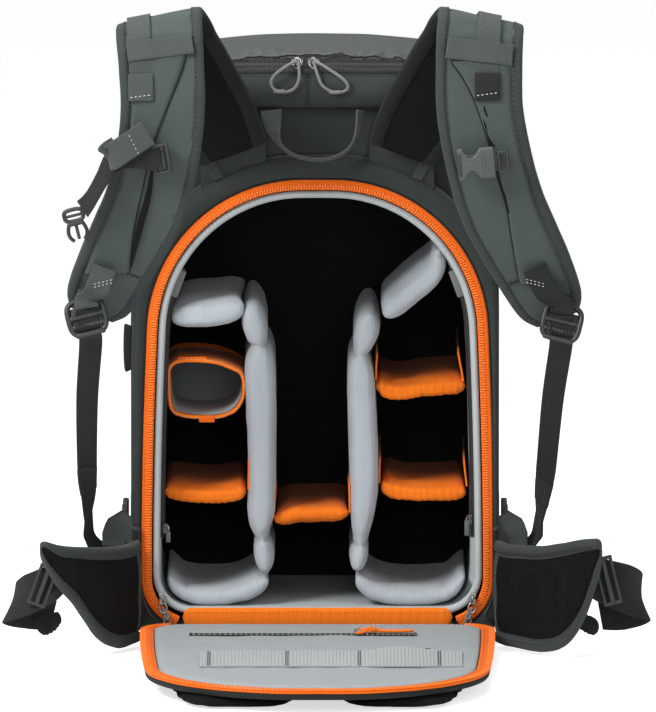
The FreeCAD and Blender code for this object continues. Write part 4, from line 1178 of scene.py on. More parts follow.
class Strap:
    """Padded strap as a surface: s runs from the back panel over the crown to the tip, u across from -1 to 1."""

    def __init__(self, raw, n=300):
        P = np.array([(*c, h) for c, h in raw], float)
        ext = np.vstack([2 * P[:1] - P[1:2], P, 2 * P[-1:] - P[-2:-1]])
        t = np.linspace(0, 1, 24, endpoint=False)[:, None]
        out = []
        for i in range(len(P) - 1):
            a, b, c, d = ext[i:i + 4]
            out.append(0.5 * (2 * b + (c - a) * t + (2 * a - 5 * b + 4 * c - d) * t ** 2 + (3 * b - a - 3 * c + d) * t ** 3))
        out.append(P[-1:])
        R = resample(np.vstack(out), n)
        self.n, self.path, self.h = n, R[:, :3], R[:, 3]
        roll = np.where((self.path[:, 1] < -82) & (self.path[:, 2] > 552), 0.22, 0.0)
        for _ in range(12):
            roll = np.convolve(np.pad(roll, 1, mode="edge"), [0.25, 0.5, 0.25], "valid")
        if raw[0][0][0] > 0:
            roll = -roll
        w = np.stack([np.ones(n), np.zeros(n), roll], 1)
        self.T, self.W, self.N = frames(self.path, w)
        self.len = np.r_[0, np.cumsum(np.linalg.norm(np.diff(self.path, axis=0), axis=1))]

    def idx(self, s):
        return np.clip(s, 0, 1) * (self.n - 1)

    def get(self, arr, s):
        i = self.idx(s)
        a = int(i)
        b = min(a + 1, self.n - 1)
        return arr[a] * (1 - (i - a)) + arr[b] * (i - a)

    def crown(self, u):
        return 6.2 * (1 - 0.30 * abs(u) ** 3)

    def at(self, s, u, lift=0.0, side=1):
        p, w, nn, h = self.get(self.path, s), self.get(self.W, s), self.get(self.N, s), self.get(self.h, s)
        return p + w * (h * u) + nn * side * (self.crown(u) + lift)

    def normal(self, s):
        return self.get(self.N, s)

    def s_at_z(self, z, rising=False):
        """Place along the strap at a height, on the hanging run or on the rising one."""
        k = int(np.argmax(self.path[:, 2]))
        zs = self.path[:k, 2] if rising else self.path[k:, 2]
        j = int(np.argmin(np.abs(zs - z)))
        return (j if rising else j + k) / (self.n - 1)

    def su(self, x, z):
        """Surface place on the hanging run for a point given in X and Z."""
        s = self.s_at_z(z)
        for _ in range(6):
            c, w, h = self.get(self.path, s), self.get(self.W, s), self.get(self.h, s)
            u = (x - c[0]) / (h * w[0])
            q = self.at(s, u)
            s = min(1, max(0, s + (q[2] - z) / self.len[-1]))
        return s, u

    def line(self, pts, n=60, lift=0.0):
        """Curve on the outer face through (x, z) points."""
        P = cat([(x, 0, z) for x, z in pts], n)
        return np.array([self.at(*self.su(p[0], p[2]), lift) for p in P])


def strap_body(name, st, body, mirror):
    """Closed padded cross-section: outer cloth, bound edges, inner mesh."""
    n = st.n
    cols = []
    bind = 8.6
    us_out = np.linspace(-1, 1, 35)
    V, mi = [], None
    rows = []
    for i in range(n):
        h = st.h[i]
        b = min(bind, h * 0.45)
        uo = 1 - b / h
        end = min(1.0, (n - 1 - i) / 16.0)
        thin = math.sqrt(max(0.02, 1 - (1 - end) ** 2))
        row, mm = [], []
        # outer face from left edge to right edge
        prof = []
        for u in np.r_[-uo, np.linspace(-uo, uo, 25)[1:-1], uo]:
            prof.append((u, st.crown(u) * 1.0, 0))
        left = [(-1.0, 0.0, 1), (-1.01, 2.6, 1), (-0.985, 4.4, 1), (-0.95, 5.2, 1), (-(1 + uo) / 2, st.crown(0.94) + 0.9, 1), (-uo - 0.012, st.crown(uo) + 0.95, 1), (-uo - 0.002, st.crown(uo) + 0.1, 1)]
        right = [(-u, d, m) for u, d, m in left[::-1]]
        rear = min(1.0, max(0.0, (int(np.argmax(st.path[:, 2])) - i) / 10.0))
        ui = 1 - min(7.0 + 4.5 * rear, h * 0.42) / h
        inner = [(1.01, -2.6, 1), (0.985, -4.2, 1), (0.95, -5.0, 1), ((1 + ui) / 2, -5.6, 1), (ui + 0.01, -5.8, 1), (ui, -5.0, 2)]
        inner += [(u, -5.0 - 0.9 * math.cos(u / ui * math.pi / 2), 2) for u in np.linspace(ui, -ui, 21)[1:-1]]
        inner += [(-u, d, m) for u, d, m in [(ui, -5.0, 2), (ui + 0.01, -5.8, 1), ((1 + ui) / 2, -5.6, 1), (0.95, -5.0, 1), (0.985, -4.2, 1), (1.01, -2.6, 1)]]
        full = left + prof + right + inner
        P = [st.path[i] + st.W[i] * (u * h) + st.N[i] * (d * thin) for u, d, m in full]
        rows.append(P)
        mi = [m for u, d, m in full]
    G = np.array(rows)
    m = G.shape[1]
    # gentle folds, stronger where the strap bends over the crown
    zc = np.argmax(st.path[:, 2])
    for i in range(n):
        bendy = math.exp(-((i - zc) / (n * 0.09)) ** 2)
        for j in range(m):
            k = mi[j]
            p = G[i, j]
            if k == 0:
                d = 0.75 * fbm(p, 42, 1.0) + 0.35 * fbm(p, 15, 3.0) + bendy * 0.9 * math.sin(st.len[i] / 2.6 + 1.8 * fbm(p, 24, 9.0)) * 0.35
                G[i, j] = p + st.N[i] * d
            elif k == 1:
                d = 0.35 * fbm(p, 10, 2.0)
                G[i, j] = p + st.N[i] * d * 0.7 + st.W[i] * d * 0.3
            else:
                d = 0.8 * fbm(p, 20, 4.0)
                G[i, j] = p - st.N[i] * abs(d)
    F = grid_faces(n, m, wrap_m=True)
    first = zc - 3
    midx = [mi[j] if mi[j] == mi[(j + 1) % m] or mi[j] == 1 else mi[(j + 1) % m] for i in range(n - 1) for j in range(m)]
    midx = [3 if q == 1 and k // m < first else q for k, q in enumerate(midx)]
    F += [tuple(range(m))[::-1], tuple((n - 1) * m + j for j in range(m))]
    midx += [0, 1]
    return make(name, G.reshape(-1, 3), F, ["strap_cloth", "binding", "mesh_black", "binding_dark"], body, midx=midx, rep=(name.replace("strap_cover", "strap_pad"),))


def patch(st, left, right, n=80, m=14, lift=1.2, edge=0.25):
    """Raised cloth laid on the strap between two (x, z) border curves."""
    A = cat([(x, 0, z) for x, z in left], n)
    B = cat([(x, 0, z) for x, z in right], n)
    rows = []
    for a, b in zip(A, B):
        row = []
        for k, t in enumerate(np.linspace(0, 1, m)):
            x, z = a[0] * (1 - t) + b[0] * t, a[2] * (1 - t) + b[2] * t
            s, u = st.su(x, z)
            e = min(1, min(t, 1 - t) * m / 1.6)
            row.append(st.at(s, u, lift * (edge + (1 - edge) * math.sqrt(max(0, 1 - (1 - e) ** 2))) + 0.3 * noise.noise(Vector((x / 12.0, z / 14.0, 2.0)))))
        low = st.su(A[len(rows)][0], A[len(rows)][2]), st.su(B[len(rows)][0], B[len(rows)][2])
        row = [st.at(*low[0], -0.5)] + row + [st.at(*low[1], -0.5)]
        rows.append(row)
    G = np.array(rows)
    return G.reshape(-1, 3), grid_faces(n, m + 2)


def px(x, y, ymm=0.0):
    """Place seen in the straight-on view, from drawing units to X and Z, for a surface at depth ymm."""
    return ((x - 317.5) / 1.12, (645.0 - y - 0.156 * ymm) / 1.109)


def ribbon_on(st, x_off, s0, s1, half, lift, n=90, th=1.7, taper=None, wob=0.25):
    """Webbing lying along the strap's outer face."""
    path, wd = [], []
    for s in np.linspace(s0, s1, n):
        h = st.get(st.h, s)
        u = x_off(s) / h
        path.append(st.at(s, u, lift + wob * noise.noise(Vector((s * 30, x_off(s), 0)))))
        wd.append(st.get(st.W, s))
    prof = flat(2 * half, th, 0.7)
    return np.array(path), np.array(wd), prof


def webbing(name, path, wd, half, body, slot, mat="webbing", th=1.8, rep=(), closed=False, prof=None):
    if prof is None:
        prof = flat(2 * half, th, 0.7)
    return sweep(name, path, wd, prof, mat, body, rep=rep, closed=closed)


def smooth_ribbon(pts, wds, n):
    P = cat(pts, n)
    k = np.linspace(0, 1, len(wds))
    # widths directions follow the same spacing as the control points
    pts = np.array(pts, float)
    d = np.r_[0, np.cumsum(np.linalg.norm(np.diff(pts, axis=0), axis=1))]
    d /= d[-1]
    W = np.stack([np.interp(np.linspace(0, 1, n), d, np.array(wds, float)[:, c]) for c in range(3)], 1)
    return P, W


straps = {}
for raw, sg, side in ((LEFT, -1, "left"), (RIGHT, 1, "right")):
    st = straps[side] = Strap(raw)
    body = "strap_" + side
    strap_body("strap_cover_" + side, st, body, sg)
    zc = int(np.argmax(st.path[:, 2])) / (st.n - 1)
    Y = -140.0
    # stitches along both bindings, on the outer face
    hp, hq = Heap(), Heap()
    for e in (-1, 1):
        L, Nn = [], []
        for s in np.linspace(zc - 0.06, 0.995, 260):
            h = st.get(st.h, s)
            u = e * (1 - min(8.6, h * 0.45) / h * 0.86)
            L.append(st.at(s, u, 1.15))
            Nn.append(st.normal(s))
        stitch_row(hp, np.array(L), np.array(Nn), length=2.4, gap=2.0, r=0.33, lift=0.25)
        L, Nn = [], []
        for s in np.linspace(0.01, zc - 0.02, 160):
            h = st.get(st.h, s)
            u = e * (1 - 5.8 / h)
            L.append(st.get(st.path, s) + st.get(st.W, s) * h * u - st.normal(s) * 5.9)
            Nn.append(-st.normal(s))
        stitch_row(hp, np.array(L), np.array(Nn), length=2.4, gap=2.0, r=0.33, lift=0.2)
    # raised padded overlay with its slanted free edge
    if side == "left":
        seamline = [px(189, 52, Y), px(183, 72, Y), px(172, 100, Y), px(160, 130, Y), px(150, 160, Y), px(144, 190, Y), px(137, 222, Y), px(133, 250, Y), px(131, 276, Y)]
        inn = [px(128, 52, Y), px(126, 72, Y), px(126, 100, Y), px(125, 130, Y), px(122, 160, Y), px(112, 190, Y), px(99, 222, Y), px(88, 250, Y), px(82, 276, Y)]
    else:
        seamline = [px(450, 64, Y), px(463, 82, Y), px(474, 104, Y), px(482, 127, Y), px(489, 150, Y), px(497, 180, Y), px(505, 208, Y), px(511, 246, Y), px(518, 288, Y)]
        inn = [px(512, 60, Y), px(512, 82, Y), px(512, 104, Y), px(514, 127, Y), px(518, 150, Y), px(526, 180, Y), px(536, 208, Y), px(552, 246, Y), px(570, 282, Y)]
    # keep the overlay inside the binding
    def inside(pts, e):
        res = []
        for x, z in pts:
            s, u = st.su(x, z)
            h = st.get(st.h, s)
            lim = 1 - 9.6 / h
            u = max(-lim, min(lim, u))
            q = st.at(s, u)
            res.append((q[0], q[2]))
        return res
    e = 1 if side == "left" else -1
    A, B = inside(seamline, e), inside(inn, e)
    V1, F1 = patch(st, A, B, n=110, m=14, lift=2.6)
    sl = st.line(A, 110, lift=0.4)
    V2, F2, _ = tube("t", sl + np.array([0, 0.0, 0]), 0.95, "t", None, k=6, build=False)
    # cross seam above the tip
    zs = 357 if side == "left" else 352
    cx = [st.at(st.s_at_z(zs), u, 0.25) for u in np.linspace(-0.72, 0.72, 30)]
    V3, F3, _ = tube("t", cx, 0.7, "t", None, k=6, build=False)
    V, F, M = stack([(V1, F1, 0), (V2, F2, 1), (V3, F3, 1)])
    make("strap_overlay_" + side, V, F, ["strap_cloth", "thread_dark"], body, midx=M)
    off = np.array([-e * 2.8, 0, 0])
    stitch_row(hp, sl + off + np.array([0, -0.9, 0]), np.array([0, -1.0, 0]), length=2.6, gap=2.0, r=0.34, lift=0.3)
    stitch_row(hp, np.array(cx) + np.array([0, 0, 2.4]), np.array([0, -1.0, 0]), length=2.6, gap=2.0, r=0.34, lift=0.35)
    stitch_row(hp, np.array(cx) + np.array([0, 0, -2.4]), np.array([0, -1.0, 0]), length=2.6, gap=2.0, r=0.34, lift=0.35)
    hp.build("strap_stitches_" + side, "thread_dark", body, "strap_fabric")
    # painted shadow: a near-black strip laid in the slit beside the overlay, standing in for the shade there
    if side == "left":
        slit_shade_line = [px(154, 168, Y), px(150, 195, Y), px(143, 222, Y), px(136, 252, Y), px(132.5, 270, Y)]
    else:
        slit_shade_line = [px(469, 78, Y), px(480, 104, Y), px(489, 135, Y), px(496, 160, Y), px(502, 188, Y), px(508, 215, Y)]
    R = st.line(slit_shade_line, 90, lift=2.0)
    wd = np.gradient(R, axis=0)
    wd = np.cross(wd, np.array([0, -1.0, 0]))
    pr = [flat(max(0.8, 2 * (2.9 * math.sin(math.pi * (0.08 + 0.88 * k)) ** 0.8)), 1.0, 0.4) for k in np.linspace(0, 1, 90)]
    m0 = min(len(p) for p in pr)
    pr = np.array([flat(6.0, 1.0, 0.4) * np.array([max(0.15, math.sin(math.pi * (0.06 + 0.9 * k)) ** 0.8), 1]) for k in np.linspace(0, 1, 90)])
    sweep("chest_rail_" + side, R, wd, pr, "inner_dark", body)

    # load lifter webbing over the crown, folded end tab with light stitches, and the elastic keeper
    s0, s1 = zc - 0.085, st.s_at_z(px(0, 100, Y)[1])
    cxs = (142.5 if side == "left" else 486.5)
    xo_mm = px(cxs, 0, Y)[0]
    ref = st.get(st.path, st.s_at_z(530))[0]
    xo = lambda s: (xo_mm - ref) * (1 if s > zc else 1) + (0.0 if s < zc else (xo_mm - st.get(st.path, s)[0] - (xo_mm - ref)) * 0.6)
    path, wd, prof = ribbon_on(st, xo, s0, s1, 10.4, 2.3)
    parts = []
    V, F, uv1 = sweep("t", path, wd, prof, "t", None, build=False)
    uvs = [uv1]
    parts.append((V, F, 0))
    # folded tab at the lower end
    s2, s3 = st.s_at_z(px(0, 76, Y)[1]), st.s_at_z(px(0, 102, Y)[1])
    p2, w2, _ = ribbon_on(st, lambda s: xo(s) - 0.3, s2, s3, 12, 4.1, n=24)
    V, F, uv2 = sweep("t", p2, w2, flat(22.0 if side == "left" else 22.5, 2.6, 1.1), "t", None, build=False)
    parts.append((V, F, 1))
    uvs.append(uv2)
    V, F, M = stack(parts)
    make("load_lifter_webbing_" + side, V, F, ["webbing_light", "webbing_light" if side == "left" else "webbing"], body, midx=M, uv=np.vstack(uvs), rep=("load_lifter_" + side,))
    hp = Heap()
    tabz = px(0, 97.5, Y)[1]
    a = st.at(st.s_at_z(tabz), (xo(st.s_at_z(tabz)) - 9.6) / 37, 6.0)
    b = st.at(st.s_at_z(tabz), (xo(st.s_at_z(tabz)) + 9.6) / 37, 6.0)
    b = b + np.array([0, 0, 2.2])
    stitch_row(hp, np.array([a, b]), np.array([0, -1.0, 0]), length=2.3, gap=1.3, r=0.45, lift=0.2)
    hp.build("load_lifter_stitches_" + side, "thread_light", body, "webbing")
    # keeper band across the strap
    kz = 553.5 if side == "left" else 551
    P, W_ = [], []
    for u in np.linspace(-0.78, 0.78, 44):
        s = st.s_at_z(kz) + 0.0
        bump = 4.0 if abs(u * 38 - xo(s)) < 13.5 else 2.1
        P.append((u, bump, s))
    bumps = np.convolve(np.pad([p[1] for p in P], 4, mode="edge"), np.ones(9) / 9, "valid")
    K = np.array([st.at(p[2] - (0.004 * p[0] if side == "left" else -0.006 * p[0]), p[0], bp + 0.5) for p, bp in zip(P, bumps)])
    wdir = np.array([st.get(st.T, p[2]) for p in P])
    prof = flat(17.5 if side == "left" else 19, 1.5, 0.6)
    V, F, uv = sweep("t", K, wdir, prof, "t", None, build=False)
    make("strap_keeper_" + side, V, F, "webbing_light", body, uv=uv)

    # anchor webbing near the tip, with light stitches, running into the ladder lock
    azc = 342.5 if side == "left" else 341
    Lk = np.array((-205.0, -115.5, 312.0) if side == "left" else (217.0, -115.5, 307.0))
    top = np.array((px(106.5, 0)[0], -124.0, px(0, 268, -124)[1]) if side == "left" else (px(533, 0)[0], -124.0, px(0, 268, -124)[1]))
    rl = math.radians(14) * sg
    P = cat([top, top * 0.55 + Lk * 0.45 + np.array([0, -3.4, 1]), Lk + np.array([-sg * 0.6, -3.2, 16.5]), Lk + np.array([0, -2.0, 9.5]), Lk + np.array([0, 3.0, 8.0]), Lk + np.array([-sg * 1.0, 5.2, 13.0]), Lk + np.array([-sg * 3, 4.6, 22])], 60)
    wd = np.broadcast_to(np.array([math.cos(rl), 0.0, -math.sin(rl)]), P.shape)
    V, F, uv = sweep("t", P, wd, flat(21.5, 1.9, 0.8), "t", None, build=False)
    make("anchor_webbing_" + side, V, F, "webbing_light" if side == "left" else "webbing", body, uv=uv, rep=("anchor_web_" + side,))
    hp = Heap()
    for dz in (-12.5, -15.2):
        c = top + np.array([(-1.0 if side == "left" else 1.6), 0, 0]) + (P[12] - P[0]) * 0 + np.array([0, -2.2, dz])
        ex = np.array([math.cos(rl), 0, -math.sin(rl)]) * 9.0
        stitch_row(hp, np.array([c - ex, c + ex]), np.array([0, -1.0, 0]), length=2.1, gap=1.3, r=0.42, lift=0.4)
    hp.build("anchor_stitches_" + side, "thread_light", body, "webbing")

    # ladder lock: moulded frame, two ribbed cross bars
    ax = np.array([[math.cos(rl), 0, -math.sin(rl)], [0, 1.0, 0], [math.sin(rl), 0, math.cos(rl)]])
    tl = math.radians(-16)
    Rx = np.array([[1, 0, 0], [0, math.cos(tl), -math.sin(tl)], [0, math.sin(tl), math.cos(tl)]])
    ax = (Rx @ ax.T).T
    parts = []
    ring = []
    for a in np.linspace(0, 2 * math.pi, 56, endpoint=False):
        ca, sa = math.cos(a), math.sin(a)
        q = 2 / 3.6
        ring.append(Lk + ax[0] * 16.4 * np.sign(ca) * abs(ca) ** q + ax[2] * 15.6 * np.sign(sa) * abs(sa) ** q + ax[1] * (1.2 * abs(sa)))
    V, F, _ = tube("t", ring, 2.5, "t", None, closed=True, k=10, build=False)
    parts.append((V, F, 0))
    for dz, rr in ((0.8, 2.2), (-7.6, 1.9)):
        V, F = rbox(Lk + ax[2] * dz + ax[1] * 0.4, (31, 4.2, 4.4), 1.3, axes=ax)
        parts.append((V, F, 0))
        for k in range(9):
            V, F = obox(Lk + ax[2] * dz + ax[0] * (-12 + 3 * k) - ax[1] * 1.9, ax[0], ax[2], -ax[1], 1.2, 3.6, 0.8, 0.7)
            parts.append((V, F, 0))
    V, F = rbox(Lk - ax[2] * 15.4 - ax[1] * 1.0, (27, 3.6, 4.6), 1.4, axes=ax)
    parts.append((V, F, 0))
    V, F = rbox(Lk - ax[2] * 2.6 + ax[1] * 2.6, (30, 1.8, 25), 0.8, axes=ax)
    parts.append((V, F, 0))
    V, F, M = stack(parts)
    make("ladder_buckle_" + side, V, F, "plastic_dark", "ladder_" + side, rep=("ladder_lock_" + side,))

# adjusting webbing from the ladder locks down to the foot of the pack
for side, sg, pts, wds, blk in (
        ("left", -1, [(-204.0, -117.0, 318), (-204.6, -114.8, 312), (-203.6, -118.6, 303), (-202.6, -112, 296), (-201.5, -98, 285), (-205, -72, 231), (-205.4, -38, 164), (-204.2, -24, 140), (-204.6, -10, 118), (-204.4, 3.5, 98), (-200, 7.5, 86), (-187, 6.5, 82), (-171.5, 3.0, 84)],
         [(1, 0, 0.25), (1, 0, 0.25), (1, 0.1, 0.2), (1, 0.1, 0.1), (1, 0.1, 0), (1, 0.12, 0), (1, 0.35, 0), (0.8, 0.9, 0), (0.35, 1, 0.2), (0.5, 0.9, 0.2), (0.7, 0.3, 0.6), (0.3, 0.1, 1), (0.1, 0, 1)], (77, 96, 466, 493)),
        ("right", 1, [(216.4, -117.0, 313), (216.8, -114.8, 307), (216.6, -118.6, 298), (216.4, -112, 291), (216, -98, 281), (209.4, -72, 231), (203.8, -38, 164), (200.8, -24, 140), (198.4, -10, 118), (196.4, 3.5, 98), (193, 7.5, 86), (184, 6.5, 82), (171.5, 3.0, 84)],
         [(1, 0, -0.25), (1, 0, -0.25), (1, -0.1, -0.2), (1, -0.1, -0.1), (1, -0.1, 0), (1, -0.12, 0), (1, -0.25, 0), (0.8, -0.9, 0), (0.35, -1, -0.2), (0.5, -0.9, -0.2), (0.7, -0.3, -0.6), (0.3, -0.1, -1), (0.1, 0, -1)], (535, 558, 484, 500))):
    P, W_ = smooth_ribbon(pts, wds, 190)
    tt = np.linspace(0, 1, 190)
    half = np.interp(tt, [0, 0.1, 0.5, 0.8, 1], [10.5, 10.5, 9.4, 8.6, 9.4])
    prof = np.array([flat(2 * h, 1.9, 0.8) for h in half])
    V, F, uv = sweep("t", P, W_, prof, "t", None, build=False)
    parts, uvs = [(V, F, 0)], [uv]
    # stitched stopper fold on the webbing
    zb = (645 - (blk[2] + blk[3]) / 2) / 1.109 + 0.14 * 30
    j = int(np.argmin(np.abs(P[:, 2] - zb)))
    Pj = P[j - 8:j + 9] + np.array([0, -2.4, 0])
    V, F, uv = sweep("t", Pj, W_[j - 8:j + 9], flat(2 * half[j] + 0.6, 3.2, 1.4), "t", None, build=False)
    parts.append((V, F, 0))
    uvs.append(uv)
    V, F, M = stack(parts)
    web = make("adjusting_webbing_" + side, V, F, "webbing", None, uv=np.vstack(uvs), rep=("adjust_webs",))
    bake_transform(web, "pack", "strap_" + side, start=(sg * 0.2, 0.002, 0.100), end=(sg * 0.21, -0.098, 0.286))
    # short sewn tab beside it at the side seam
    outline_ = [(168.8, 88), (168.8, 113.5), (179, 121.5), (193.5, 113), (197.6, 101), (197.0, 90)]
    rows = []
    for k in range(12):
        t = k / 11
        lo_ = np.array([168.8 + t * 28.6, 88 + 1.5 * t])
        hi_ = np.array([np.interp(t, [0, 0.36, 0.86, 1], [168.8, 179, 193.5, 197.6]), np.interp(t, [0, 0.36, 0.86, 1], [113.5, 121.5, 113, 101])])
        row = []
        for q in np.linspace(0, 1, 9):
            p = lo_ * (1 - q) + hi_ * q
            y = 1.2 + 2.4 * math.sin(math.pi * t) * 0.8 - 1.4 * q + 0.9 * noise.noise(Vector((p[0] / 9.0, p[1] / 9.0, sg)))
            row.append((sg * p[0], y, p[1]))
        rows.append(row)
    G = np.array(rows)
    V, F = G.reshape(-1, 3), grid_faces(12, 9)
    V2 = V + np.array([0, 2.2, 0])
    k0 = len(V)
    rim = [(i_ * 9 + 8, (i_ + 1) * 9 + 8, (i_ + 1) * 9 + 8 + k0, i_ * 9 + 8 + k0) for i_ in range(11)]
    rim += [(11 * 9 + q, 11 * 9 + q + 1, 11 * 9 + q + 1 + k0, 11 * 9 + q + k0) for q in range(8)]
    make("webbing_tab_" + side, np.vstack([V, V2]), F + [tuple(i_ + k0 for i_ in f)[::-1] for f in F] + rim, "webbing_light", "pack")

# cloth yoke the straps are sewn to: two patches over the frame's edge, each with a slanted web along its outer side
hp = Heap()
parts = []
ff = f_out[f_out[:, 2] > 200]
ff = ff[np.argsort(ff[:, 0])]
for sg in (-1, 1):
    rows = []
    for x in np.linspace(46, 104, 34):
        zt = 456.5 - 9.5 * (x - 46) / 58
        zb = float(np.interp(x, ff[:, 0], ff[:, 2])) - 3.5
        row = []
        for t in np.linspace(0, 1, 12):
            z = zt + (zb - zt) * t
            y = -5.2 - 1.6 * math.sin(math.pi * t) + 0.7 * noise.noise(Vector((x / 14.0, z / 8.0, sg)))
            y += 3.4 * t ** 3
            row.append((sg * x, y, z))
        rows.append([(sg * x, row[0][1] + 3.0, row[0][2] - 0.6)] + row)
    G = np.array(rows)
    parts.append((G.reshape(-1, 3), grid_faces(34, 13, flip=sg < 0), 0))
    stitch_row(hp, G[:, 2] + np.array([0, 0, 0.2]), np.array([0, -1.0, 0]), length=2.4, gap=2.0, r=0.34, lift=0.4)
    stitch_row(hp, G[:, 11] + np.array([0, 0, 0.6]), np.array([0, -1.0, 0]), length=2.4, gap=2.0, r=0.34, lift=0.4)
    # slanted web beside the patch
    A, B = np.array([sg * 104.5, -8.4, 452.0]), np.array([sg * 90.0, -6.2, 424.0])
    Pw = cat([A + np.array([sg * 1.5, 1.6, 4.0]), A, A * 0.5 + B * 0.5 + np.array([0, -0.9, 0]), B, B + np.array([-sg * 1.5, 3.0, -3.0])], 26)
    V, F, uv = sweep("t", Pw, np.broadcast_to(np.array([0.92, 0, sg * -0.3]), Pw.shape), flat(9.5, 1.8, 0.7), "t", None, build=False)
    parts.append((V, F, 1))
V, F, M = stack(parts)
make("strap_yoke", V, F, ["pack_cloth", "binding"], "pack", midx=M, rep=("strap_anchors",))
hp.build("strap_yoke_stitches", "thread_dark", "pack", "pack_fabric")


# ------------------------------------------------------------------ chest strap halves
LB = np.array([-137.5, -157.5, 459.0])
parts, uvs = [], []
ax = np.array([[0.985, 0, 0.17], [0, 1, 0], [-0.17, 0, 0.985]])
for dx in (-6.2, 5.4):
    V, F = rbox(LB + ax[0] * dx, (3.6, 5.6, 27), 1.5, axes=ax)
    parts.append((V, F, 1))
for dz in (-12.2, 12.2):
    V, F = rbox(LB + ax[2] * dz, (14, 5.4, 3.2), 1.4, axes=ax)
    parts.append((V, F, 1))
V, F = rbox(LB + ax[0] * 0.6 + np.array([0, 1.6, 0]), (5.0, 2.6, 25), 1.0, axes=ax)
parts.append((V, F, 1))
# webbing from the slider: flat run, a doubled fold with light stitches, then the free run down to the buckle
P, W_ = smooth_ribbon([(-139.5, -159.6, 457), (-147, -160.6, 459), (-158, -161.8, 461), (-168, -162.4, 461), (-176, -162.0, 459.5), (-181.5, -159.6, 456.5), (-185, -157.2, 451.5), (-189, -156.0, 444), (-195, -155.2, 433), (-200, -153.5, 424), (-204, -151.5, 418), (-208, -149.5, 413)],
                      [(-0.1, 0.1, 1), (-0.15, 0, 1), (-0.2, 0, 1), (-0.25, 0, 1), (-0.35, 0.1, 0.9), (-0.45, 0.3, 0.7), (-0.5, 0.55, 0.45), (-0.5, 0.75, 0.3), (-0.48, 0.8, 0.25), (-0.48, 0.8, 0.25), (-0.55, 0.75, 0.25), (-0.65, 0.65, 0.25)], 150)
V, F, uv = sweep("t", P, W_, flat(20.0, 1.7, 0.7), "t", None, build=False)
parts.append((V, F, 0))
uvs.append((len(parts) - 1, uv))
# loose folded end hanging forward of the strap
P2, W2 = smooth_ribbon([(-150, -163.4, 483), (-158, -165.6, 478), (-167, -166.8, 472), (-176, -166.9, 466), (-183.5, -165.6, 461), (-185.5, -163.6, 461.3), (-183, -162.4, 464.5), (-176, -162.6, 469)],
                       [(-0.45, 0, 0.89)] * 8, 60)
V, F, uv = sweep("t", P2, W2, flat(23.5, 1.9, 0.8), "t", None, build=False)
parts.append((V, F, 2))
uvs.append((len(parts) - 1, uv))
V, F, M = stack(parts)
uv_all = np.zeros((len(V), 2))
offs = np.cumsum([0] + [len(p[0]) for p in parts])
for k, u in uvs:
    uv_all[offs[k]:offs[k + 1]] = u
make("chest_webbing_left", V, F, ["webbing", "plastic_dark", "webbing_light"], "sternum_left", midx=M, uv=uv_all, rep=("sternum_strap_left",))
hp = Heap()
c = np.array([-163.0, -167.6, 474.0])
dv = unit((-0.45, 0, 0.89))
stitch_row(hp, np.array([c - dv * 10.5, c + dv * 10.5]), np.array([0, -1.0, 0]), length=2.2, gap=1.3, r=0.42, lift=0.35)
hp.build("chest_stitches_left", "thread_light", "sternum_left", "webbing")

# hanging male half: stem bar, two sprung arms and a centre guide
C = np.array([-214.0, -147.0, 399.0])
a = math.radians(-14)
ax = np.array([[math.cos(a), 0, -math.sin(a)], [0, 1, 0], [math.sin(a), 0, math.cos(a)]])
parts = []
ring = []
for t in np.linspace(0, 2 * math.pi, 44, endpoint=False):
    ca, sa = math.cos(t), math.sin(t)
    ring.append(C + ax[0] * 8.4 * np.sign(ca) * abs(ca) ** 0.6 + ax[2] * (8.4 + 5.2 * np.sign(sa) * abs(sa) ** 0.6))
V, F, _ = tube("t", ring, 1.9, "t", None, closed=True, k=8, build=False)
parts.append((V, F, 0))
V, F = rbox(C + ax[2] * 8.2, (15, 3.4, 2.6), 1.0, axes=ax)
parts.append((V, F, 0))
V, F = rbox(C + ax[2] * 1.0, (15, 5.4, 4.0), 1.4, axes=ax)
parts.append((V, F, 0))
for sx in (-1, 1):
    arm = [C + ax[0] * sx * 6.4 + ax[2] * 0.5, C + ax[0] * sx * 8.2 - ax[2] * 6, C + ax[0] * sx * 7.4 - ax[2] * 11, C + ax[0] * sx * 4.6 - ax[2] * 14.6]
    V, F, _ = tube("t", arm, 1.7, "t", None, n=22, k=8, build=False)
    parts.append((V, F, 0))
V, F = rbox(C - ax[2] * 6.5, (3.0, 3.2, 14), 1.0, axes=ax)
parts.append((V, F, 0))
V, F, M = stack(parts)
make("chest_buckle_male", V, F, "plastic_dark", "sternum_left", rep=("sternum_buckle_left",))

# female half: waisted body with an open mouth, beside the slider loop on its rail
C = np.array([143.6, -158.0, 455.0])
a = math.radians(-5)
ax = np.array([[math.cos(a), 0, -math.sin(a)], [0, 1, 0], [math.sin(a), 0, math.cos(a)]])
parts = []
N = 46
Hh = []
for k in range(N):
    t = k / (N - 1)
    x = -19.5 + 33.5 * t
    if t < 0.16:
        hh = 15.2 - 1.0 * (t / 0.16)
    elif t < 0.6:
        s = (t - 0.16) / 0.44
        hh = 14.2 - 7.0 * math.sin(math.pi * min(1, s)) ** 0.9
    else:
        hh = 14.2
    Hh.append((x, hh))
rows = []
for x, hh in Hh:
    e = min(1, min(x + 19.5, 14.0 - x) / 2.0)
    th = 4.3 * (0.55 + 0.45 * math.sqrt(max(0, 1 - (1 - e) ** 2)))
    P = flat(2 * hh * (0.94 + 0.06 * e), 2 * th, 2.6, 4)
    rows.append([C + ax[0] * x + ax[2] * p[0] - ax[1] * p[1] for p in P])
mlen = min(len(r) for r in rows)
G = np.array([r[:mlen] for r in rows]) if len({len(r) for r in rows}) > 1 else np.array(rows)
if len({len(r) for r in rows}) > 1:
    G = np.array([resample(np.array(r), 40, closed=True) for r in rows])
m = G.shape[1]
parts.append((G.reshape(-1, 3), grid_faces(N, m, wrap_m=True) + [tuple(range(m))[::-1], tuple((N - 1) * m + j for j in range(m))], 0))
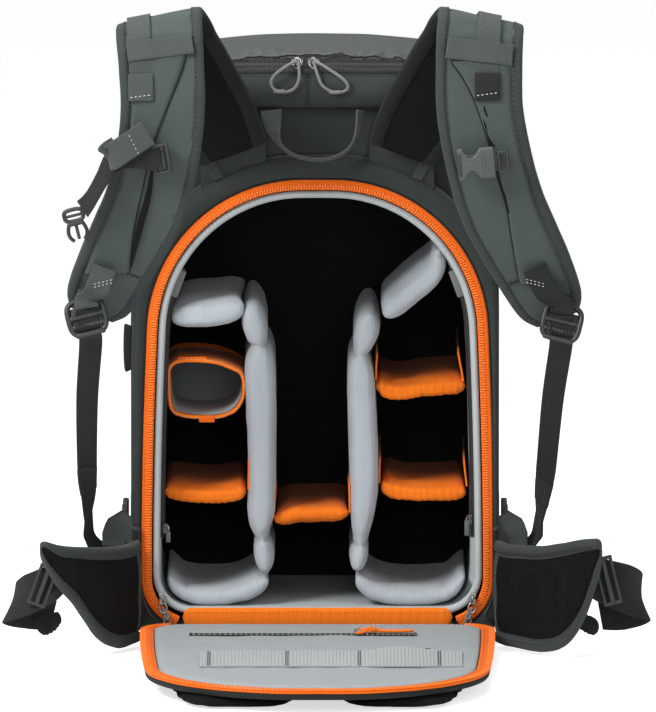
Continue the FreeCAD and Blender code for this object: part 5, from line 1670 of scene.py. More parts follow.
# dark mouth, release windows and ribs
V, F = rbox(C - ax[0] * 19.3, (1.2, 5.0, 22), 0.5, axes=ax)
parts.append((V, F, 1))
V, F = rbox(C - ax[0] * 17.4 - ax[1] * 3.4, (3.2, 2.6, 21), 0.8, axes=ax)
parts.append((V, F, 1))
for sz in (-1, 1):
    V, F = rbox(C - ax[0] * 5.0 + ax[2] * sz * 8.0 - ax[1] * 3.6, (9.5, 1.0, 1.0), 0.4, axes=ax)
    parts.append((V, F, 0))
for k in range(4):
    V, F = obox(C + ax[0] * (2.4 + 2.6 * k) - ax[1] * 4.2, ax[0], ax[2], -ax[1], 0.9, 22, 0.7, 0.8)
    parts.append((V, F, 0))
V, F = rbox(C - ax[0] * 9.0 - ax[1] * 3.9, (8.0, 1.0, 5.0), 0.4, axes=ax)
parts.append((V, F, 0))
# slider loop on the rail
D = np.array([165.0, -157.0, 456.5])
for dx in (-4.2, 3.6):
    V, F = rbox(D + ax[0] * dx, (2.8, 5.0, 20), 1.1, axes=ax)
    parts.append((V, F, 1))
for dz in (-8.6, 8.6):
    V, F = rbox(D + ax[2] * dz, (10, 4.6, 2.8), 1.1, axes=ax)
    parts.append((V, F, 1))
V, F = rbox(D - ax[0] * 8.0, (8.0, 2.2, 15), 0.9, axes=ax)
parts.append((V, F, 1))
V, F, M = stack(parts)
make("chest_buckle_female", V, F, ["plastic_mid", "plastic_dark"], "sternum_right", midx=M, rep=("sternum_buckle_right",))

# ------------------------------------------------------------------ waist belt wings
PATHS = {"left": [(173, -9, 50, 46), (181.5, -26, 49, 46), (191.5, -46, 50, 46), (207, -66, 57, 41), (226, -84, 74, 27), (241, -94, 85, 19), (256, -101, 101, 9)],
         "right": [(173, -9, 50, 46), (182, -26, 49, 46), (195, -46, 50, 47), (212, -64, 51, 48), (230, -80, 57, 47), (246, -92, 72, 37), (262, -101, 98, 13)]}
def wing_map(P):
    """Draws the wings and their webbing in against the foot of the pack."""
    P = np.array(P, float)
    a = np.abs(P[:, 0])
    P[:, 0] = np.sign(P[:, 0]) * (a - 12 + 2 * np.clip((a - 173) / 77, 0, 1))
    return P


wing_at = {}
for side, sg in (("left", -1), ("right", 1)):
    raw = PATHS[side]
    ctrl = np.array(raw, float)
    ext = np.vstack([2 * ctrl[:1] - ctrl[1:2], ctrl, 2 * ctrl[-1:] - ctrl[-2:-1]])
    t = np.linspace(0, 1, 30, endpoint=False)[:, None]
    out = []
    for i in range(len(ctrl) - 1):
        a_, b_, c_, d_ = ext[i:i + 4]
        out.append(0.5 * (2 * b_ + (c_ - a_) * t + (2 * a_ - 5 * b_ + 4 * c_ - d_) * t ** 2 + (3 * b_ - a_ - 3 * c_ + d_) * t ** 3))
    out.append(ctrl[-1:])
    R = resample(np.vstack(out), 170)
    n = len(R)
    path = np.stack([R[:, 0] * sg, R[:, 1], R[:, 2]], 1)
    hgt = R[:, 3]
    flatT = np.gradient(np.stack([path[:, 0], path[:, 1], np.zeros(n)], 1), axis=0)
    flatT /= np.linalg.norm(flatT, axis=1)[:, None]
    Wz = np.broadcast_to(np.array([0, 0, 1.0]), path.shape)
    Nn = np.cross(flatT, Wz)
    if Nn[n // 2][1] > 0:
        Nn = -Nn
    # Nn points to the wearer: the mesh face
    rows, mi = [], None
    L = np.r_[0, np.cumsum(np.linalg.norm(np.diff(path, axis=0), axis=1))]
    for i in range(n):
        e1 = min(1.0, (L[-1] - L[i]) / 9.0)
        e0 = min(1.0, (L[i]) / 7.0)
        shrink = math.sqrt(max(0.03, 1 - (1 - e1) ** 2))
        rootthin = 0.55 + 0.45 * math.sqrt(max(0, 1 - (1 - e0) ** 2))
        h = hgt[i] * (0.35 + 0.65 * shrink)
        b = min(9.5, h * 0.5)
        ui = 1 - b / h
        bulge = 5.2 * (0.35 + 0.65 * min(1, (L[-1] - L[i]) / 40.0)) * rootthin * shrink
        prof = []
        # mesh face
        for u in np.linspace(-ui, ui, 31):
            q = u / ui if ui > 0 else 0
            prof.append((u, 3.2 * rootthin + (bulge - 2.2) * max(0, 1 - abs(q) ** 4) , 2 if abs(q) < 0.999 else 1))
        prof += [(ui + 0.01, 4.7, 1), ((1 + ui) / 2, 5.3, 1), (0.94, 4.9, 1), (0.985, 3.4, 1), (1.0, 0.6, 1), (0.985, -3.0, 1), (0.93, -5.2, 1), ((1 + ui) / 2, -6.0, 1), (ui, -6.2, 1), (ui - 0.01, -5.2, 0)]
        for u in np.linspace(ui - 0.02, -ui + 0.02, 19):
            q = u / max(ui, 1e-3)
            prof.append((u, -5.4 - 1.2 * max(0, 1 - q * q) * rootthin, 0))
        prof += [(-ui + 0.01, -5.2, 0), (-ui, -6.2, 1), (-(1 + ui) / 2, -6.0, 1), (-0.93, -5.2, 1), (-0.985, -3.0, 1), (-1.0, 0.6, 1), (-0.985, 3.4, 1), (-0.94, 4.9, 1), (-(1 + ui) / 2, 5.3, 1), (-ui - 0.01, 4.7, 1)]
        row = []
        for u, d, mk in prof:
            dd = d * (1.0 if mk == 2 else (0.35 + 0.65 * shrink) * rootthin)
            row.append(path[i] + np.array([0, 0, 1.0]) * (u * h) + Nn[i] * dd)
        rows.append(row)
        mi = [mk for _, _, mk in prof]
    G = np.array(rows)
    m = G.shape[1]
    for i in range(n):
        for j in range(m):
            p = G[i, j]
            if mi[j] == 2:
                k = min(1, i / 12.0)
                d = 1.1 * fbm(p, 36, 2.0) + 0.5 * noise.noise(Vector((L[i] / 9.0, p[2] / 34.0, 5.0)))
                fan = 0.55 * math.sin((L[i] * 0.9 - (p[2] - 50) * 0.35) / 2.1) * math.exp(-((L[i] - 14) / 14.0) ** 2)
                G[i, j] = p + Nn[i] * (d * k + fan * (1 if side == "right" else 0.4))
            else:
                G[i, j] = p + Nn[i] * 0.5 * fbm(p, 14, 7.0) + np.array([0, 0, 0.5 * fbm(p, 17, 3.0)])
    F = grid_faces(n, m, wrap_m=True)
    midx = []
    for i in range(n - 1):
        for j in range(m):
            a_, b_ = mi[j], mi[(j + 1) % m]
            k = a_ if a_ == b_ else 1
            if k == 2 and (L[i] < 9):
                k = 1
            midx.append(k)
    F += [tuple(range(m))[::-1], tuple((n - 1) * m + j for j in range(m))]
    midx += [1, 1]
    make("belt_pad_" + side, wing_map(G.reshape(-1, 3)), F, ["pack_cloth", "binding", "mesh_black"], "belt_" + side, midx=midx, rep=("belt_wing_" + side,))
    wing_at[side] = (path, hgt, Nn, L, G)
    hp = Heap()
    for sgn in (1, -1):
        Ls, Ns = [], []
        for i in range(4, n - 8):
            h = hgt[i]
            b = min(9.5, h * 0.5)
            Ls.append(path[i] + np.array([0, 0, sgn * (h - b * 0.78)]) + Nn[i] * 5.6)
            Ns.append(Nn[i])
        stitch_row(hp, wing_map(np.array(Ls)), np.array(Ns), length=2.5, gap=2.0, r=0.34, lift=0.15)
    hp.build("belt_stitches_" + side, "thread_dark", "belt_" + side, "strap_fabric")

    # belt webbing: out through a triglide and back in a broad loop
    if side == "left":
        pts = [(-243, -85, 72), (-252, -86, 66), (-266, -80, 58), (-279, -69, 49.5), (-282.5, -60, 44.5), (-276, -52.5, 41.0), (-262, -45, 37), (-246, -47, 33)]
        wds = [(0.1, 0.1, 1), (0.25, 0.1, 1), (0.3, 0, 1), (0.45, 0, 1), (0.4, 0, 1), (0.3, 0, 1), (0.2, 0, 1), (0.1, 0, 1)]
        hw = [14, 16.5, 18, 18, 18, 18, 17, 14]
        tri = (np.array([-254.5, -88.5, 66.5]), math.radians(20))
    else:
        pts = [(256, -84, 76), (266, -84, 70), (281, -79.5, 64), (293, -70, 57), (298.5, -60, 50.5), (292, -52.5, 45), (278, -43.5, 39), (262, -46, 36)]
        wds = [(0.05, 0.1, 1), (0.1, 0.1, 1), (0.1, 0, 1), (-0.1, 0, 1), (-0.2, 0, 1), (-0.2, 0, 1), (-0.2, 0, 1), (-0.1, 0, 1)]
        hw = [17, 19.5, 21, 21, 21, 21, 20, 16]
        tri = (np.array([268.5, -88.5, 71]), math.radians(-14))
    P, W_ = smooth_ribbon(pts, wds, 130)
    d = np.r_[0, np.cumsum(np.linalg.norm(np.diff(np.array(pts, float), axis=0), axis=1))]
    hwv = np.interp(np.linspace(0, 1, 130), d / d[-1], hw)
    P = P + np.stack([0 * hwv, 0.5 * np.sin(np.linspace(0, 9, 130)), 0 * hwv], 1)
    prof = np.array([flat(2 * h, 2.1, 0.9) for h in hwv])
    V, F, uv = sweep("t", P, W_, prof, "t", None, build=False)
    parts, uvs = [(V, F, 0)], [uv]
    C, aa = tri
    ax = np.array([[math.cos(aa), 0, -math.sin(aa)], [0, 1, 0], [math.sin(aa), 0, math.cos(aa)]])
    hh = 17.5 if side == "left" else 20.5
    for dx, wd in ((-7.0, 3.2), (0.0, 4.6), (7.0, 3.2)):
        V, F = rbox(C + ax[0] * dx - ax[1] * (0.8 if dx == 0 else 0), (wd, 3.6, 2 * hh), 1.3, axes=ax)
        parts.append((V, F, 1))
        uvs.append(np.zeros((len(V), 2)))
    for dz in (-hh, hh):
        V, F = rbox(C + ax[2] * dz, (17.5, 3.6, 3.4), 1.3, axes=ax)
        parts.append((V, F, 1))
        uvs.append(np.zeros((len(V), 2)))
    # bunched cloth sleeve under the loop
    sl = [(sg * 241, -70, 35), (sg * 247, -64, 30), (sg * 254, -58, 26), (sg * 258, -50, 25)]
    Pq = cat(sl, 40)
    rr = np.array([circle(1, 14) * np.array([5.0 + 1.1 * math.sin(k * 1.1), 8.5 + 1.3 * math.sin(k * 1.1 + 0.8)]) * (0.55 + 0.45 * math.sin(math.pi * (k + 2) / 44)) for k in range(40)])
    V, F, uv = sweep("t", Pq, np.broadcast_to(np.array([1.0, 0, 0.2]), Pq.shape), rr, "t", None, build=False)
    parts.append((V, F, 2))
    uvs.append(uv)
    V, F, M = stack(parts)
    V = wing_map(V)
    make("belt_webbing_" + side, V, F, ["webbing", "plastic_dark", "pack_cloth_dark"], "belt_" + side, midx=M, uv=np.vstack(uvs), rep=("belt_web_" + side,))

# ------------------------------------------------------------------ side straps, their buckles and the sewn side loop
parts, uvs = [], []
for sg in (-1, 1):
    P = cat([(sg * 170.6, 22, 112), (sg * 171.6, 60, 111), (sg * 171.9, 110, 112.5), (sg * 171.4, 150, 112), (sg * 170.6, 181, 112)], 80)
    V, F, uv = sweep("t", P, np.broadcast_to(np.array([0, 0, 1.0]), P.shape), flat(19.5, 1.8, 0.8), "t", None, build=False)
    parts.append((V, F, 0))
    uvs.append(uv)
V, F, M = stack(parts)
make("side_webbing", V, F, "webbing", "pack", uv=np.vstack(uvs), rep=("side_webs",))
parts = []
for sg in (-1, 1):
    C = np.array([sg * 176.5, 34.0, 112.0])
    for y in (-12.5, 12.5):
        V, F = rbox(C + (0, y, 0), (5.5, 4.0, 28), 1.5)
        parts.append((V, F, 0))
    for z in (-12.4, 12.4):
        V, F = rbox(C + (0, 0, z), (5.5, 25, 3.6), 1.4)
        parts.append((V, F, 0))
    V, F = rbox(C + (sg * 1.0, 1.0, 0), (5.2, 11, 20), 1.8)
    parts.append((V, F, 0))
    V, F = rbox(C + (sg * 1.2, -7.2, 0), (3.2, 3.0, 20), 1.2)
    parts.append((V, F, 0))
V, F, M = stack(parts)
make("side_buckle_bodies", V, F, "plastic_dark", "pack", rep=("side_buckles",))
P = cat([(-172.8, 5.5, 287), (-173.4, 3.4, 284), (-173.8, 2.6, 268), (-173.2, 2.8, 252), (-172.2, 4.5, 248)], 50)
V, F, uv = sweep("t", P, np.broadcast_to(np.array([0.93, 0.36, 0]), P.shape), flat(9.6, 2.4, 1.0), "t", None, build=False)
make("side_loop_left", V, F, "webbing", "pack", uv=uv, rep=("side_tab_left",))

# belt roots: bound cloth lying over the foot of the frame on both sides, where the wings start
for sg, side in ((-1, "left"), (1, "right")):
    outer = cat([(sg * 169.6, 0, 106), (sg * 170.0, 0, 86), (sg * 169.6, 0, 58), (sg * 168.2, 0, 34), (sg * 163.0, 0, 19)], 44)
    inner = cat([(sg * 160.4, 0, 104), (sg * 160.0, 0, 86), (sg * 159.4, 0, 62), (sg * 156.6, 0, 44), (sg * 149.5, 0, 27)], 44)
    rows = []
    for a, b in zip(outer, inner):
        row = [(a[0], -1.2, a[2])]
        for t in np.linspace(0, 1, 10):
            p = a * (1 - t) + b * t
            y = -5.6 - 2.0 * math.sin(math.pi * (0.12 + 0.8 * t)) + 0.5 * noise.noise(Vector((p[0] / 8.0, p[2] / 10.0, sg)))
            row.append((p[0], y, p[2]))
        row.append((b[0], -1.4, b[2]))
        rows.append(row)
    G = np.array(rows)
    parts = [(G.reshape(-1, 3), grid_faces(44, 12), 0)]
    top = G[0] + np.array([0, 0, 0.4])
    V, F, _ = tube("t", top, 2.0, "t", None, k=8, build=False)
    parts.append((V, F, 1))
    V, F, _ = tube("t", G[:, 10] + np.array([0, -0.2, 0]), 1.1, "t", None, k=8, build=False)
    parts.append((V, F, 1))
    V, F, M = stack(parts)
    make("belt_root_" + side, V, F, ["pack_cloth_dark", "binding"], "pack", midx=M)

# ------------------------------------------------------------------ front pocket with its zip
cx, cz, hx, hz = 0.0, 215.0, 107.0, 150.0
loops = []
NP = 240
for q, (s, dy) in enumerate([(1.0, 0.4), (1.0, 4.0), (0.997, 9.5), (0.985, 13.0), (0.955, 15.6), (0.90, 16.9), (0.8, 17.6), (0.65, 17.9), (0.5, 18.0), (0.34, 17.9), (0.18, 17.8), (0.05, 17.8), (0.003, 17.8)]):
    row = []
    for a in np.linspace(0, 2 * math.pi, NP, endpoint=False):
        ca, sa = math.cos(a), math.sin(a)
        e = 2 / 5.5
        x = hx * np.sign(ca) * abs(ca) ** e * s
        z = cz + hz * np.sign(sa) * abs(sa) ** e * s
        y = 226.4 + dy * 0.92
        if dy > 4:
            y += 0.7 * fbm((x, y, z), 46, 3.0) + 0.35 * fbm((x, y, z), 17, 6.0)
            y -= 1.3 * math.exp(-((z - 330) / 8.0) ** 2)
        row.append((x, y, z))
    loops.append(np.array(row))
loops_mesh("front_pocket_cloth", loops, "pack_cloth", "pack", rep=("front_pocket",), flip=True)
parts = []
rows = []
for x in np.linspace(-93, 93, 80):
    w = 0.5 * noise.noise(Vector((x / 30.0, 0, 2)))
    rows.append([(x, 241.5, 336 + w), (x, 243.6, 335 + w), (x, 244.0, 331 + w), (x, 244.0, 329 + w), (x, 243.6, 325 + w), (x, 241.5, 324 + w)])
parts.append((np.array(rows).reshape(-1, 3), grid_faces(80, 6), 0))
V, F, _ = tube("t", [(x, 244.2, 330 + 0.5 * noise.noise(Vector((x / 30.0, 0, 2)))) for x in np.linspace(-92, 92, 80)], 0.9, "t", None, k=6, build=False)
parts.append((V, F, 1))
V, F, M = stack(parts)
make("front_pocket_zip_tape", V, F, ["dark_tape", "teeth_dark"], "pack", midx=M, rep=("front_pocket_zip",))
hp = Heap()
xs = np.arange(-91, 91, 2.0)
for i, x in enumerate(xs):
    V, F = obox((x, 244.5, 330 + (0.3 if i % 2 else -0.3)), (1, 0, 0), (0, 0, 1), (0, 1, 0), 1.2, 4.2, 0.9, 0.8)
    hp.add(V, F)
hp.build("front_pocket_coil", "teeth_dark", "pack", "dark_zip")
hp = Heap()
for zz in (323.2, 337.0):
    stitch_row(hp, np.array([(x, 243.0, zz) for x in np.linspace(-94, 94, 60)]), np.array([0, 1.0, 0]), length=2.6, gap=2.0, r=0.34, lift=0.3)
P = loops[4]
stitch_row(hp, P, np.array([0, 1.0, 0.0]), length=2.8, gap=2.2, r=0.36, lift=0.5)
hp.build("front_pocket_stitches", "thread_dark", "pack", "pack_fabric")
parts = slider_parts((-80, 244.8, 330), (-1, 0, 0), (0, 1, 0), 0, scale=0.95)
P, W_ = smooth_ribbon([(-83, 249.4, 330), (-87, 250.2, 327), (-90, 249.6, 320), (-90.5, 248.4, 310)], [(0.3, 0, 1), (0.6, 0, 0.6), (1, 0, 0.2), (1, 0, 0)], 30)
V, F, uv = sweep("t", P, W_, flat(5.0, 1.3, 0.5), "t", None, build=False)
parts.append((V, F, 1))
V, F, M = stack(parts)
make("front_zip_slider", V, F, ["metal", "cord_grey"], "front_pull", midx=M, rep=("front_slider",))

# ------------------------------------------------------------------ main zip sliders with their cord pulls
for side, sg in (("left", -1), ("right", 1)):
    al = unit((sg * 0.24, 0, 0.97))
    c = np.array([sg * 138.5, -1.0, 42.0])
    parts = slider_parts(c, al, (0, -1, 0), 0, scale=1.05)
    V, F = torus(c + np.array([-sg * 0.4, -4.4, -8.2]), (1, 0, 0.15 * sg), (0, 0.1, 1), 3.4, 4.6, 0.85)
    parts.append((V, F, 0))
    x1 = sg * 133
    loop = [(sg * 138.0, -4.6, 31.5), (sg * 136.6, -4.8, 27), (sg * 136.9, -5.0, 20), (sg * 135.3, -5.2, 12.5), (sg * 131.6, -5.2, 10.4), (sg * 129.9, -5.0, 14.5), (sg * 131.8, -4.9, 21), (sg * 134.4, -4.7, 27), (sg * 137.2, -4.5, 32.5)]
    V, F, _ = tube("t", loop, 1.15, "t", None, n=60, k=8, closed=True, build=False)
    parts.append((V, F, 1))
    V, F, _ = tube("t", [(sg * 136.5, -5.6, 26), (sg * 134.2, -6.2, 24), (sg * 133.0, -5.4, 27), (sg * 135.4, -4.2, 28.6)], 1.2, "t", None, n=24, k=8, closed=True, build=False)
    parts.append((V, F, 1))
    V, F, M = stack(parts)
    make("main_zip_pull_" + side, V, F, ["metal", "cord_grey"], "zip_slider_" + side, midx=M, rep=("main_slider_" + side,))


# ------------------------------------------------------------------ stuffed dividers: cloth simulation
def pad_outline(line, n=120):
    """Closed XZ outline around a centre line given as (x, z, half thickness)."""
    C = cat([(x, z, h) for x, z, h in line], n)
    d = np.gradient(C[:, :2], axis=0)
    d /= np.linalg.norm(d, axis=1)[:, None]
    nrm = np.stack([-d[:, 1], d[:, 0]], 1)
    a = C[:, :2] + nrm * C[:, 2:3]
    b = C[:, :2] - nrm * C[:, 2:3]
    cap1 = [C[-1, :2] + d[-1] * C[-1, 2] * 0.8 * math.sin(t) + nrm[-1] * C[-1, 2] * math.cos(t) for t in np.linspace(0.3, math.pi - 0.3, 6)]
    cap0 = [C[0, :2] - d[0] * C[0, 2] * 0.8 * math.sin(t) - nrm[0] * C[0, 2] * math.cos(t) for t in np.linspace(0.3, math.pi - 0.3, 6)]
    return np.vstack([a, cap1, b[::-1], cap0])


def prism_mesh(out, y0, y1, round_=5.0):
    """Outline pushed along Y with eased ends."""
    c = out.mean(0)
    loops = []
    n = len(out)
    T = np.roll(out, -1, 0) - np.roll(out, 1, 0)
    T /= np.linalg.norm(T, axis=1)[:, None] + 1e-9
    Nv = np.stack([T[:, 1], -T[:, 0]], 1)
    area2 = np.sum(out[:, 0] * np.roll(out[:, 1], -1) - np.roll(out[:, 0], -1) * out[:, 1])
    if area2 < 0:
        Nv = -Nv
    ys = [(y0, round_ * 0.8), (y0 + 0.8, round_ * 0.45), (y0 + 2.6, round_ * 0.12), (y0 + 5, 0)]
    rows = [(y, s) for y, s in ys] + [(y, 0) for y in np.linspace(y0 + 12, y1 - 12, 20)] + [(y0 + y1 - y, s) for y, s in ys[::-1]]
    for y, s in rows:
        q = out - Nv * s
        loops.append(np.stack([q[:, 0], np.full(n, y), q[:, 1]], 1))
    V = np.vstack(loops)
    F = grid_faces(len(loops), n, wrap_m=True)
    F += [tuple(range(n))[::-1], tuple((len(loops) - 1) * n + j for j in range(n))]
    return V, F


def puffed(name, V, F, mat, body, rep, voxel=4.0, pressure=4.0, cap=5.0, pinch=None, frames_=20, shrink=0.8, after=None, sub=1, grow=1.0):
    me = bpy.data.meshes.new(name)
    me.from_pydata([tuple(v) for v in np.asarray(V, float) * MM], [], F)
    me.update()
    o = bpy.data.objects.new(name, me)
    bpy.context.scene.collection.objects.link(o)
    bm = bmesh.new()
    bm.from_mesh(me)
    bmesh.ops.recalc_face_normals(bm, faces=bm.faces)
    bm.to_mesh(me)
    bm.free()
    bpy.ops.object.select_all(action="DESELECT")
    bpy.context.view_layer.objects.active = o
    o.select_set(True)
    rm = o.modifiers.new("remesh", "REMESH")
    rm.mode = "VOXEL"
    rm.voxel_size = voxel * MM
    bpy.ops.object.modifier_apply(modifier="remesh")
    me = o.data
    n = len(me.vertices)
    co = np.zeros(n * 3)
    me.vertices.foreach_get("co", co)
    co = co.reshape(-1, 3)
    no = np.zeros(n * 3)
    me.vertices.foreach_get("normal", no)
    no = no.reshape(-1, 3)
    start = co - no * shrink * MM
    me.vertices.foreach_set("co", start.ravel())
    me.update()
    cl_ = o.modifiers.new("cloth", "CLOTH")
    s = cl_.settings
    s.quality = 5
    s.mass = 0.25
    s.tension_stiffness = 14
    s.compression_stiffness = 14
    s.shear_stiffness = 6
    s.bending_stiffness = 0.35
    s.use_pressure = True
    s.uniform_pressure_force = pressure
    s.effector_weights.gravity = 0.0
    cl_.collision_settings.use_collision = False
    cl_.point_cache.frame_start = 1
    cl_.point_cache.frame_end = frames_
    sc_ = bpy.context.scene
    for f in range(1, frames_ + 1):
        sc_.frame_set(f)
    dg = bpy.context.evaluated_depsgraph_get()
    ev = o.evaluated_get(dg).to_mesh()
    got = np.zeros(n * 3)
    ev.vertices.foreach_get("co", got)
    got = got.reshape(-1, 3)
    o.evaluated_get(dg).to_mesh_clear()
    o.modifiers.remove(cl_)
    sc_.frame_set(1)
    d = got - start
    d -= d.mean(0)
    L = np.linalg.norm(d, axis=1)
    k = np.minimum(1, cap * MM / np.maximum(L, 1e-9))
    new = start + d * k[:, None]
    o.data.vertices.foreach_set("co", new.ravel())
    o.data.update()
    # smooth the voxel steps a little
    bm = bmesh.new()
    bm.from_mesh(o.data)
    for _ in range(2):
        bmesh.ops.smooth_vert(bm, verts=bm.verts, factor=0.5, use_axis_x=True, use_axis_y=True, use_axis_z=True)
    bm.to_mesh(o.data)
    bm.free()
    if sub:
        sm = o.modifiers.new("sub", "SUBSURF")
        sm.levels = sub
        sm.render_levels = sub
        bpy.context.view_layer.objects.active = o
        bpy.ops.object.modifier_apply(modifier="sub")
    me = o.data
    n = len(me.vertices)
    co = np.zeros(n * 3)
    me.vertices.foreach_get("co", co)
    co = co.reshape(-1, 3) / MM
    no = np.zeros(n * 3)
    me.vertices.foreach_get("normal", no)
    no = no.reshape(-1, 3)
    co = co + no * grow
    if after:
        co = after(co, no)
    else:
        d = np.array([0.45 * fbm(p, 16, 3.0) + 0.25 * fbm(p, 7, 5.0) for p in co])
        co = co + no * d[:, None]
    me.vertices.foreach_set("co", (co * MM).ravel())
    me.polygons.foreach_set("use_smooth", np.ones(len(me.polygons), bool))
    me.materials.clear()
    me.materials.append(MAT[mat])
    me.update()
    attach(o, body)
    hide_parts(*rep)
    return o


def pinched(folds, soft=0.5, deep=1.6, wide=5.0):
    """Sewn folds: a narrow groove round the pad at each (x, z) with the pad's direction there."""
    def go(co, no):
        d = np.array([0.5 * fbm(p * np.array([1, 0.6, 1]), 15, 3.0) + 0.22 * fbm(p, 6, 5.0) for p in co]) * soft / 0.5
        for (x, z), (dx, dz) in folds:
            t = (co[:, 0] - x) * dx + (co[:, 2] - z) * dz
            near = ((co[:, 0] - x) ** 2 + (co[:, 2] - z) ** 2) < 18 ** 2
            d -= near * deep * np.exp(-(t / (wide * 0.35)) ** 2)
            d += near * 0.25 * np.sin(co[:, 1] * 1.4 + 2 * t) * np.exp(-(t / wide) ** 2)
        return co + no * d[:, None]
    return go


left_long = [(-59.8, 302, 6.4), (-58.5, 295.8, 8.4), (-56.3, 284, 8.9), (-53.6, 273.2, 7.0), (-52.0, 266.9, 3.6), (-51.3, 261.5, 8.0), (-51.6, 250.7, 10.8),
             (-51.4, 235.3, 11.4), (-50.4, 205.6, 11.0), (-49.6, 174, 10.2), (-49.2, 145.2, 9.6), (-50.2, 119.9, 10.2), (-50.6, 104.6, 8.6), (-50.2, 95.6, 5.2),
             (-49.8, 91, 3.2), (-48.8, 86.6, 5.4), (-47.8, 78.4, 7.2), (-46.9, 67.6, 6.8), (-45.6, 61.4, 4.6)]
right_long = [(48.4, 297.0, 5.6), (46.4, 291.3, 8.0), (44.2, 279.5, 9.2), (41.1, 267.8, 7.0), (38.9, 258.3, 3.6), (38.3, 252.5, 7.6), (39.0, 237.2, 9.8),
              (39.8, 205.6, 10.2), (41.1, 169.5, 10.6), (41.8, 142.5, 10.4), (40.6, 117.2, 8.8), (38.8, 97.4, 5.8), (39.0, 86.6, 3.3), (37.5, 81.2, 5.6),
              (36.9, 72.1, 7.0), (36.0, 63.2, 5.0)]
top_left = [(-128.5, 293.6, 7.4), (-122, 293.8, 9.2), (-110, 294.6, 10.0), (-95, 295.8, 10.0), (-82, 297.4, 9.6), (-73.5, 299.8, 8.6), (-70.2, 302.4, 6.6)]
top_right = [(60.0, 294.5, 6.4), (67, 301.4, 8.4), (77, 310, 9.0), (88, 319.5, 9.2), (98, 328.5, 8.8), (105.6, 336.5, 7.2), (108.6, 343, 5.2), (108.4, 350, 4.2), (106.4, 357, 3.2)]
for nm, line, body, node, folds, y1 in (
        ("divider_pad_left", left_long, "divider_l", "divider_left_long", [((-52.0, 266.9), (0, 1)), ((-49.8, 91), (0, 1))], 187),
        ("divider_pad_right", right_long, "divider_r", "divider_right_long", [((38.9, 258.3), (0, 1)), ((39.0, 86.6), (0, 1))], 187),
        ("divider_pad_top_left", top_left, "divider_tl", "divider_top_left", [], 187),
        ("divider_pad_top_right", top_right, "divider_tr", "divider_top_right", [], 167)):
    V, F = prism_mesh(pad_outline(line), 13, y1)
    puffed(nm, V, F, "velour", body, (node,), voxel=4.5, pressure=4.0, cap=2.4, shrink=0.9, after=pinched(folds))

# cradles on the floor of the compartment
objs = []
for k, line in enumerate(([(-46.5, 56.0, 4.4), (-52, 51.5, 6.0), (-61, 46.5, 6.6), (-73, 42.6, 6.2), (-88, 40.4, 5.8), (-104, 40.0, 5.4), (-117, 42.4, 5.0), (-126, 47.4, 4.2), (-131.0, 53.5, 3.2), (-133.4, 60, 2.2)],
                          [(36.6, 57.0, 4.4), (41.5, 51.0, 6.0), (50, 45.4, 6.6), (64, 41.6, 6.2), (82, 40.2, 5.8), (100, 40.4, 5.4), (113, 42.6, 5.0), (122, 47.4, 4.2), (128, 53.5, 3.2), (130.6, 60, 2.2)])):
    V, F = prism_mesh(pad_outline(line), 13, 187, 3.0)
    rep = ("floor_cradles",)
    puffed("floor_cradle_pad_" + ("left" if k == 0 else "right"), V, F, "velour", "pack", rep, voxel=4.0, pressure=3.0, cap=1.4, shrink=0.5)

# ------------------------------------------------------------------ orange shelves with their side tabs
def shelf_pad(name, line, body, node, tabs, seed):
    V, F = prism_mesh(pad_outline(line), 26, 189, 2.5)

    def after(co, no):
        d = np.array([0.55 * fbm(p * np.array([1, 0.7, 1]), 11, seed) + 0.3 * fbm(p, 5.5, seed + 2) for p in co])
        # cross-stitched channels near the front edge
        d += 0.35 * np.sin(co[:, 0] * 2 * math.pi / 6.4 + 0.9 * np.sin(co[:, 0] / 7)) * np.exp(-((co[:, 1] - 26) / 14.0) ** 2)
        return co + no * d[:, None]
    o = puffed(name, V, F, "orange_cloth", body, (node,), voxel=3.4, pressure=4.0, cap=1.9, shrink=0.6, after=after)
    parts = []
    for x, z, hgt_, lean in tabs:
        rows = []
        for y in np.linspace(28, 186, 34):
            top = hgt_ + 1.6 * noise.noise(Vector((y / 22.0, x, seed))) - 4.0 * max(0, (34 - y) / 6.0) ** 2 * 0.2
            row = []
            for t in np.linspace(0, 1, 9):
                b = 0.8 * noise.noise(Vector((y / 16.0, t * 2, x)))
                row.append((x + lean * t + b * t, y, z + top * t))
            rows.append(row)
        G = np.array(rows)
        V1 = G.reshape(-1, 3)
        V2 = V1 + np.array([1.5 * (1 if x < np.mean([l[0] for l in line]) else -1), 0, 0])
        f = grid_faces(34, 9)
        k = len(V1)
        rim = []
        for i in range(33):
            rim.append((i * 9 + 8, (i + 1) * 9 + 8, (i + 1) * 9 + 8 + k, i * 9 + 8 + k))
            rim.append((i * 9, (i + 1) * 9, (i + 1) * 9 + k, i * 9 + k))
        for j in range(8):
            rim.append((j, j + 1, j + 1 + k, j + k))
            rim.append((33 * 9 + j, 33 * 9 + j + 1, 33 * 9 + j + 1 + k, 33 * 9 + j + k))
        parts.append((np.vstack([V1, V2]), f + [tuple(i + k for i in q) for q in f] + rim, 0))
    V, F, M = stack(parts)
    make(name + "_tabs", V, F, "orange_cloth", body)
    hp = Heap()
    L = cat([(x, 26, z) for x, z, _ in line], 60) + np.array([0, -1.4, 0])
    stitch_row(hp, L[4:-4], np.array([0, -1.0, 0]), length=2.2, gap=1.8, r=0.3, lift=0.3)
    hp.build(name + "_stitches", "orange_tape", body, "orange_divider")


